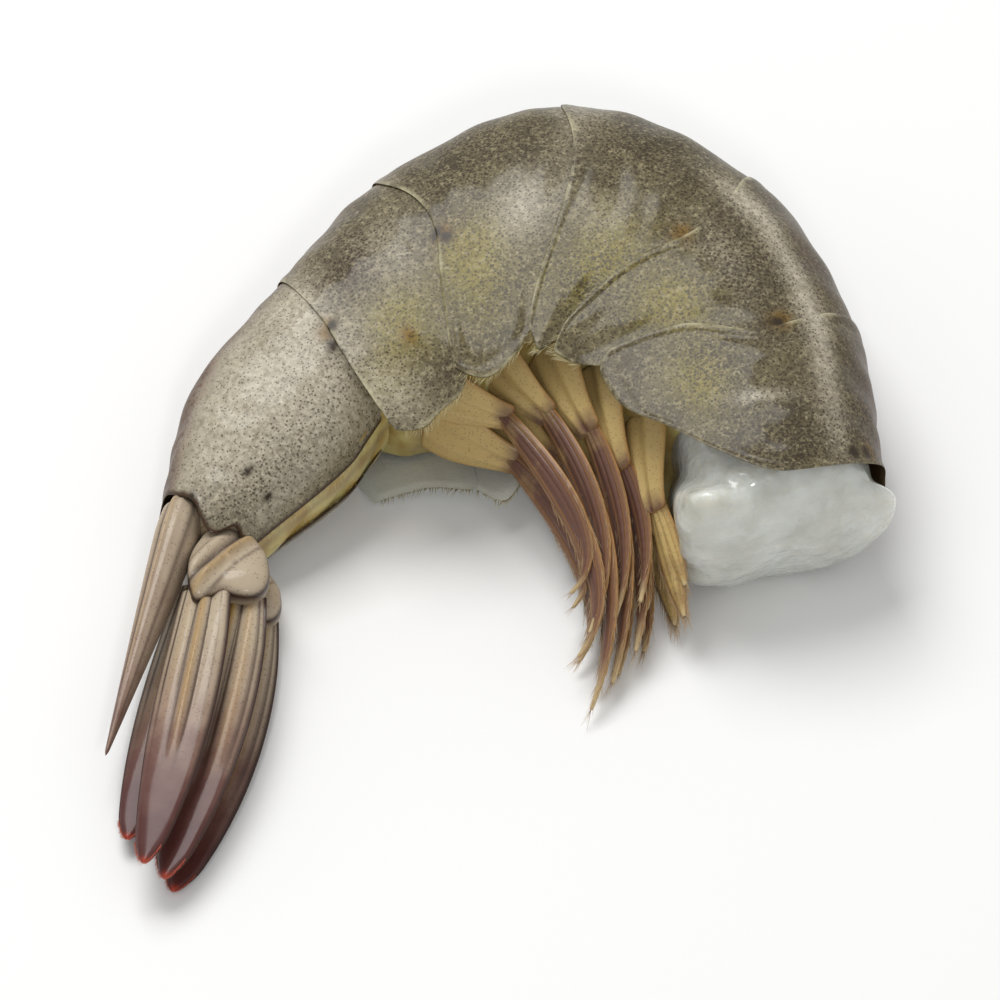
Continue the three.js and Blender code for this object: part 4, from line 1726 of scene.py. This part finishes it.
    def build_socket(self, form: BodyForm) -> bpy.types.Object:
        """Models the soft joint that fills the last plate's end, which the fan is rooted in.

        Args:
            form: The body's form.

        Returns:
            The joint.
        """
        piece, turn, share = ball("tail_joint", 72, 44)
        angle = turn * np.pi
        at = mix(*self.joint_span, share)
        dome = np.sin(share * np.pi) ** 0.3
        folds = 1 + 0.025 * np.sin(7 * angle + at) + 0.02 * np.sin(13 * angle - 0.5 * at)
        masks = {
            "along": 0.05,
            "rib": 0.35 * smooth(0.3, 0.9, np.sin(9 * angle)) * smooth(0.7, 0.9, share),
            "edge": 0.5 * smooth(0.4, 0.9, np.sin(7 * angle + 1)) * smooth(0.75, 0.95, share),
            "tip": 0.0,
        }
        return form_solid(piece, form.on_round(at, turn, self.joint_inset, dome * folds), masks)

    def build(self, form: BodyForm) -> None:
        """Builds and dresses the fan, its joint and its fringes."""
        wet = Gloss(0.55, 0.35, 0.14, 0.05, (0.7, 0.6, 0.4), 1.28)
        finish = TailFinish("ribbed_tail_cuticle", wet).material()
        red = Fringe("tail_fringe")
        for name, leaf in self.blades.items():
            dress(self.build_blade(name, leaf), finish, Slot.TAIL, name)
            red.hairs += leaf.edge_hairs(name, *self.fringe)
        dress(self.build_spike(), finish, Slot.TAIL, "telson")
        dress(self.build_socket(form), finish, Slot.TAIL)
        for side in Side:
            dress(self.build_stalk(side), finish, Slot.TAIL, f"stalk_{side.name.lower()}")
        bristle = BristleFinish("red_bristles", HAIR_GLOSS, "#8f4636", "#c8573a")
        dress(red.build(), bristle.material(), Slot.TAIL)


# ---------------------------------------------------------------- swimmerets
@dataclass
class Swimmerets:
    """Ten flat limbs rooted at the belly, each with a long and a short blade, gathered to a tuft."""

    limbs: dict[str, tuple[Place, Place, Place, Place]] = field(
        default_factory=lambda: {
            "swimmeret_1_upper": ((8.8, 3.8, 8.8), (9.4, -1.3, 7.0), (10.6, -4.6, 4.6), (11.4, -7.4, 3.2)),
            "swimmeret_2_upper": ((5.6, 7.8, 9.4), (7.1, 1.8, 7.8), (8.4, -3.0, 4.9), (8.0, -9.6, 2.0)),
            "swimmeret_3_upper": ((2.7, 9.4, 9.8), (5.0, 4.6, 8.6), (7.1, -3.2, 5.1), (6.4, -12.0, 1.5)),
            "swimmeret_4_upper": ((-1.2, 9.8, 9.4), (2.2, 6.4, 8.2), (5.9, -4.0, 5.3), (4.9, -14.0, 1.0)),
            "swimmeret_5_upper": ((-5.0, 8.2, 8.8), (-0.4, 6.7, 7.7), (4.8, -4.0, 5.6), (4.0, -10.4, 2.4)),
            "swimmeret_1_lower": ((8.0, 3.4, 4.8), (9.2, -0.8, 3.9), (10.2, -3.8, 2.2), (10.8, -6.4, 1.0)),
            "swimmeret_2_lower": ((5.2, 7.2, 5.2), (7.0, 1.8, 4.4), (8.5, -3.4, 2.3), (8.6, -8.6, 0.8)),
            "swimmeret_3_lower": ((2.4, 8.8, 5.2), (5.2, 3.8, 4.8), (7.1, -3.4, 2.5), (6.8, -10.6, 0.7)),
            "swimmeret_4_lower": ((-0.8, 9.2, 5.2), (2.5, 5.2, 4.4), (5.7, -3.6, 2.8), (5.4, -12.0, 0.7)),
            "swimmeret_5_lower": ((-4.6, 7.8, 5.2), (0.1, 5.6, 4.2), (4.5, -3.2, 3.0), (4.1, -9.6, 1.0)),
        }
    )  # root, knee, middle and tip
    side: Place = (0.6, 0.0, 0.8)  # the way across the limbs
    limb_width: float = 3.9
    limb_thick: float = 0.95
    limb_tuck: float = 2.2  # how far its root reaches on under the side flap
    long_width: float = 2.5
    short_width: float = 1.7
    taper: float = 0.7  # how much of its width a blade loses on the way to its tip
    wall: float = 0.28
    leaf_grid: tuple[int, int] = (16, 60)
    first_browned: float = 0.3  # the first pair is paler than the others
    overlap: float = 1.1  # how far inside the limb its blades begin
    spread: float = 0.55  # millimetres that the short blade stands aside, before its own factors
    hair_span: tuple[float, float] = (0.25, 1.0)
    long_hairs: tuple[int, tuple[float, float]] = (50, (0.8, 1.7))  # on each edge, and their lengths
    short_hairs: tuple[int, tuple[float, float]] = (30, (0.6, 1.3))
    hair_lean: float = 0.03

    def build_limb(self, name: str, root: Points, knee: Points) -> bpy.types.Object:
        """Models the flat limb that carries the blades.

        Args:
            name: Name of the piece.
            root: Where it grows from the belly.
            knee: Where its blades begin.

        Returns:
            The limb.
        """
        piece, turn, share = ball(name, 40, 40)
        along = unit(knee - root)
        side = np.array(self.side)
        across = unit(side - along * (along @ side))
        root = root - along * self.limb_tuck
        closed = closing(1 - share / 0.08) * closing((share - 0.94) / 0.06)
        angle = turn * np.pi
        flat = np.sign(np.cos(angle)) * np.abs(np.cos(angle)) ** 0.8
        ridges = 0.45 * bell(flat - 0.35, 0.12) - 0.45 * bell(flat, 0.12) + 0.4 * bell(flat + 0.4, 0.12)
        wide = flat * self.limb_width / 2 * mix(1.25, 0.6, smooth(0.2, 1.0, share)) * closed
        thick = np.sin(angle) * self.limb_thick / 2 * mix(1.0, 0.8, share) * closed * (1 + ridges)
        bow = 0.35 * np.sin(np.pi * share)
        points = root + share[:, None] * (knee - root) + wide[:, None] * across
        points = points + (thick + bow)[:, None] * np.cross(along, across)
        masks = {
            "along": 0.5 * smooth(0.6, 1.0, share) + 0.12 * bell(flat, 0.14),
            "edge": 0.5 * bell(np.abs(flat) - 1, 0.12),
            "tip": 0.0,
        }
        return form_solid(piece, points, masks)

    def build_leaf(self, name: str, leaf: Leaf, browned: float) -> bpy.types.Object:
        """Models a blade with its fine cross ripples.

        Args:
            name: Name of the piece.
            leaf: Its path.
            browned: How brown it is, as a share.

        Returns:
            The blade.
        """
        piece, across, share = grid(name, *self.leaf_grid)
        over = 1 - 2 * across
        lift = 0.24 * bell(over, 0.2) * (1 - share) - 0.15 * over**2
        lift = lift + 0.1 * (bell(over - 0.55, 0.15) + bell(over + 0.55, 0.15)) * (1 - share**2)
        lift = lift + 0.015 * np.sin(95 * share) * smooth(0.15, 0.4, share)
        from_edge = 1 - np.abs(over)
        gold = 0.8 * (1 - smooth(0.05, 0.4, from_edge)) + 0.35 * bell(np.abs(over) - 0.5, 0.1)
        masks = {
            "along": (0.5 + 0.5 * share) * browned,
            "edge": np.clip(gold, 0, 1),
            "tip": 0.8 * smooth(0.8, 1.0, share),
        }
        thick = mix(0.4, 1.0, smooth(0, 0.4, from_edge))
        return form_sheet(piece, leaf.point(share, over, lift), masks, self.wall, thick, 0.0)

    def build(self) -> None:
        """Builds and dresses all swimmerets and their fringes."""
        wet = Gloss(0.55, 0.35, 0.16, 0.1, (0.8, 0.6, 0.4), 1.3)
        finish = LimbFinish("swimmeret_cuticle", wet).material()
        gold = Fringe("swimmeret_fringe", bow=0.08)
        aside = np.array(self.side) * self.spread
        for name, measures in self.limbs.items():
            root, knee, middle, tip = (np.array(p, float) for p in measures)
            browned = self.first_browned if "_1_" in name else 1.0
            start = knee - unit(knee - root) * self.overlap
            paths = (
                (self.long_width, start, middle, tip),
                (
                    self.short_width,
                    start + aside * 0.5,
                    mix(knee, middle, 0.8) + aside * 1.3,
                    mix(knee, tip, 0.76) + aside * 1.6,
                ),
            )
            long_blade, short_blade = (
                Leaf(*(tuple(place) for place in places), self.side, width, taper=self.taper)
                for width, *places in paths
            )
            limb = name.replace("swimmeret", "limb")
            dress(self.build_limb(limb, root, knee), finish, Slot.SWIMMERET, name)
            for kind, blade in (("long", long_blade), ("short", short_blade)):
                dress(self.build_leaf(f"{limb}_{kind}", blade, browned), finish, Slot.SWIMMERET)
            for blade, seed, (count, length) in (
                (long_blade, name, self.long_hairs),
                (short_blade, name + "s", self.short_hairs),
            ):
                gold.hairs += blade.edge_hairs(seed, count, self.hair_span, length, self.hair_lean)
        bristle = BristleFinish("gold_bristles", HAIR_GLOSS, "#8d6a4a", "#cdb083")
        dress(gold.build(), bristle.material(), Slot.SWIMMERET)


# ---------------------------------------------------------------- studio
@dataclass(frozen=True)
class Lamp:
    """A soft square lamp: its place, its size and its power."""

    name: str
    place: Place
    size: float  # metres, as its place
    power: float  # watts


@dataclass
class Studio:
    """A plain white floor, soft lamps, and the camera."""

    elevation: float = 50.0  # degrees
    lens: float = 800.0  # long, because the photograph's view is nearly a parallel one
    distance: float = 1.544  # metres, as the next two
    target: Place = (0.0, -0.0008, 0.0062)
    floor_size: float = 3.0
    floor_colour: str = "#efefee"
    sky: float = 0.5
    lamps: tuple[Lamp, ...] = (
        Lamp("lamp_over", (-0.14, 0.24, 0.48), 0.32, 2.15),
        Lamp("lamp_front", (0.03, -0.36, 0.36), 0.06, 0.36),
    )

    def add_camera(self) -> None:
        """Adds the camera at the photograph's viewing angle."""
        rise = math.radians(self.elevation)
        target = Vector(self.target)
        place = target + Vector((0, -math.cos(rise), math.sin(rise))) * self.distance
        turned = (target - place).to_track_quat("-Z", "Y").to_euler()
        bpy.ops.object.camera_add(location=place, rotation=turned)
        camera = bpy.context.active_object
        camera.data.lens = self.lens
        camera.data.clip_start, camera.data.clip_end = 0.001, 20
        bpy.context.scene.camera = camera

    def add_lamps(self) -> None:
        """Adds the lamps, turned to the shrimp, and the even light of the room."""
        for lamp in self.lamps:
            turned = (Vector((0, 0, 0)) - Vector(lamp.place)).to_track_quat("-Z", "Y").to_euler()
            bpy.ops.object.light_add(type="AREA", location=lamp.place, rotation=turned)
            light = bpy.context.active_object
            light.name = lamp.name
            light.data.size = lamp.size
            light.data.energy = lamp.power
        world = bpy.data.worlds.new("room")
        world.use_nodes = True
        background = world.node_tree.nodes["Background"]
        background.inputs["Color"].default_value = (1.0, 1.0, 1.0, 1.0)
        background.inputs["Strength"].default_value = self.sky
        bpy.context.scene.world = world

    def add_floor(self) -> None:
        """Adds the floor."""
        deselect()
        bpy.ops.mesh.primitive_plane_add(size=self.floor_size)
        floor = named("floor")
        made = bpy.data.materials.new("white_board")
        made.use_nodes = True
        shader = made.node_tree.nodes["Principled BSDF"]
        shader.inputs["Base Color"].default_value = linear(self.floor_colour)
        shader.inputs["Roughness"].default_value = 0.6
        floor.data.materials.append(made)

    def build(self) -> None:
        """Sets the studio up."""
        self.add_floor()
        self.add_lamps()
        self.add_camera()
        bpy.context.scene.view_settings.view_transform = "Standard"


def main() -> None:
    """Builds the shrimp piece by piece."""
    logging.basicConfig(level=logging.INFO, format="%(name)s %(message)s")
    form = BodyForm()
    armour = Armour(form)
    Muscle(form, armour).build()
    armour.build()
    Membranes(form).build()
    TailFan().build(form)
    Swimmerets().build()
    Studio().build()


if __name__ == "__main__":
    main()
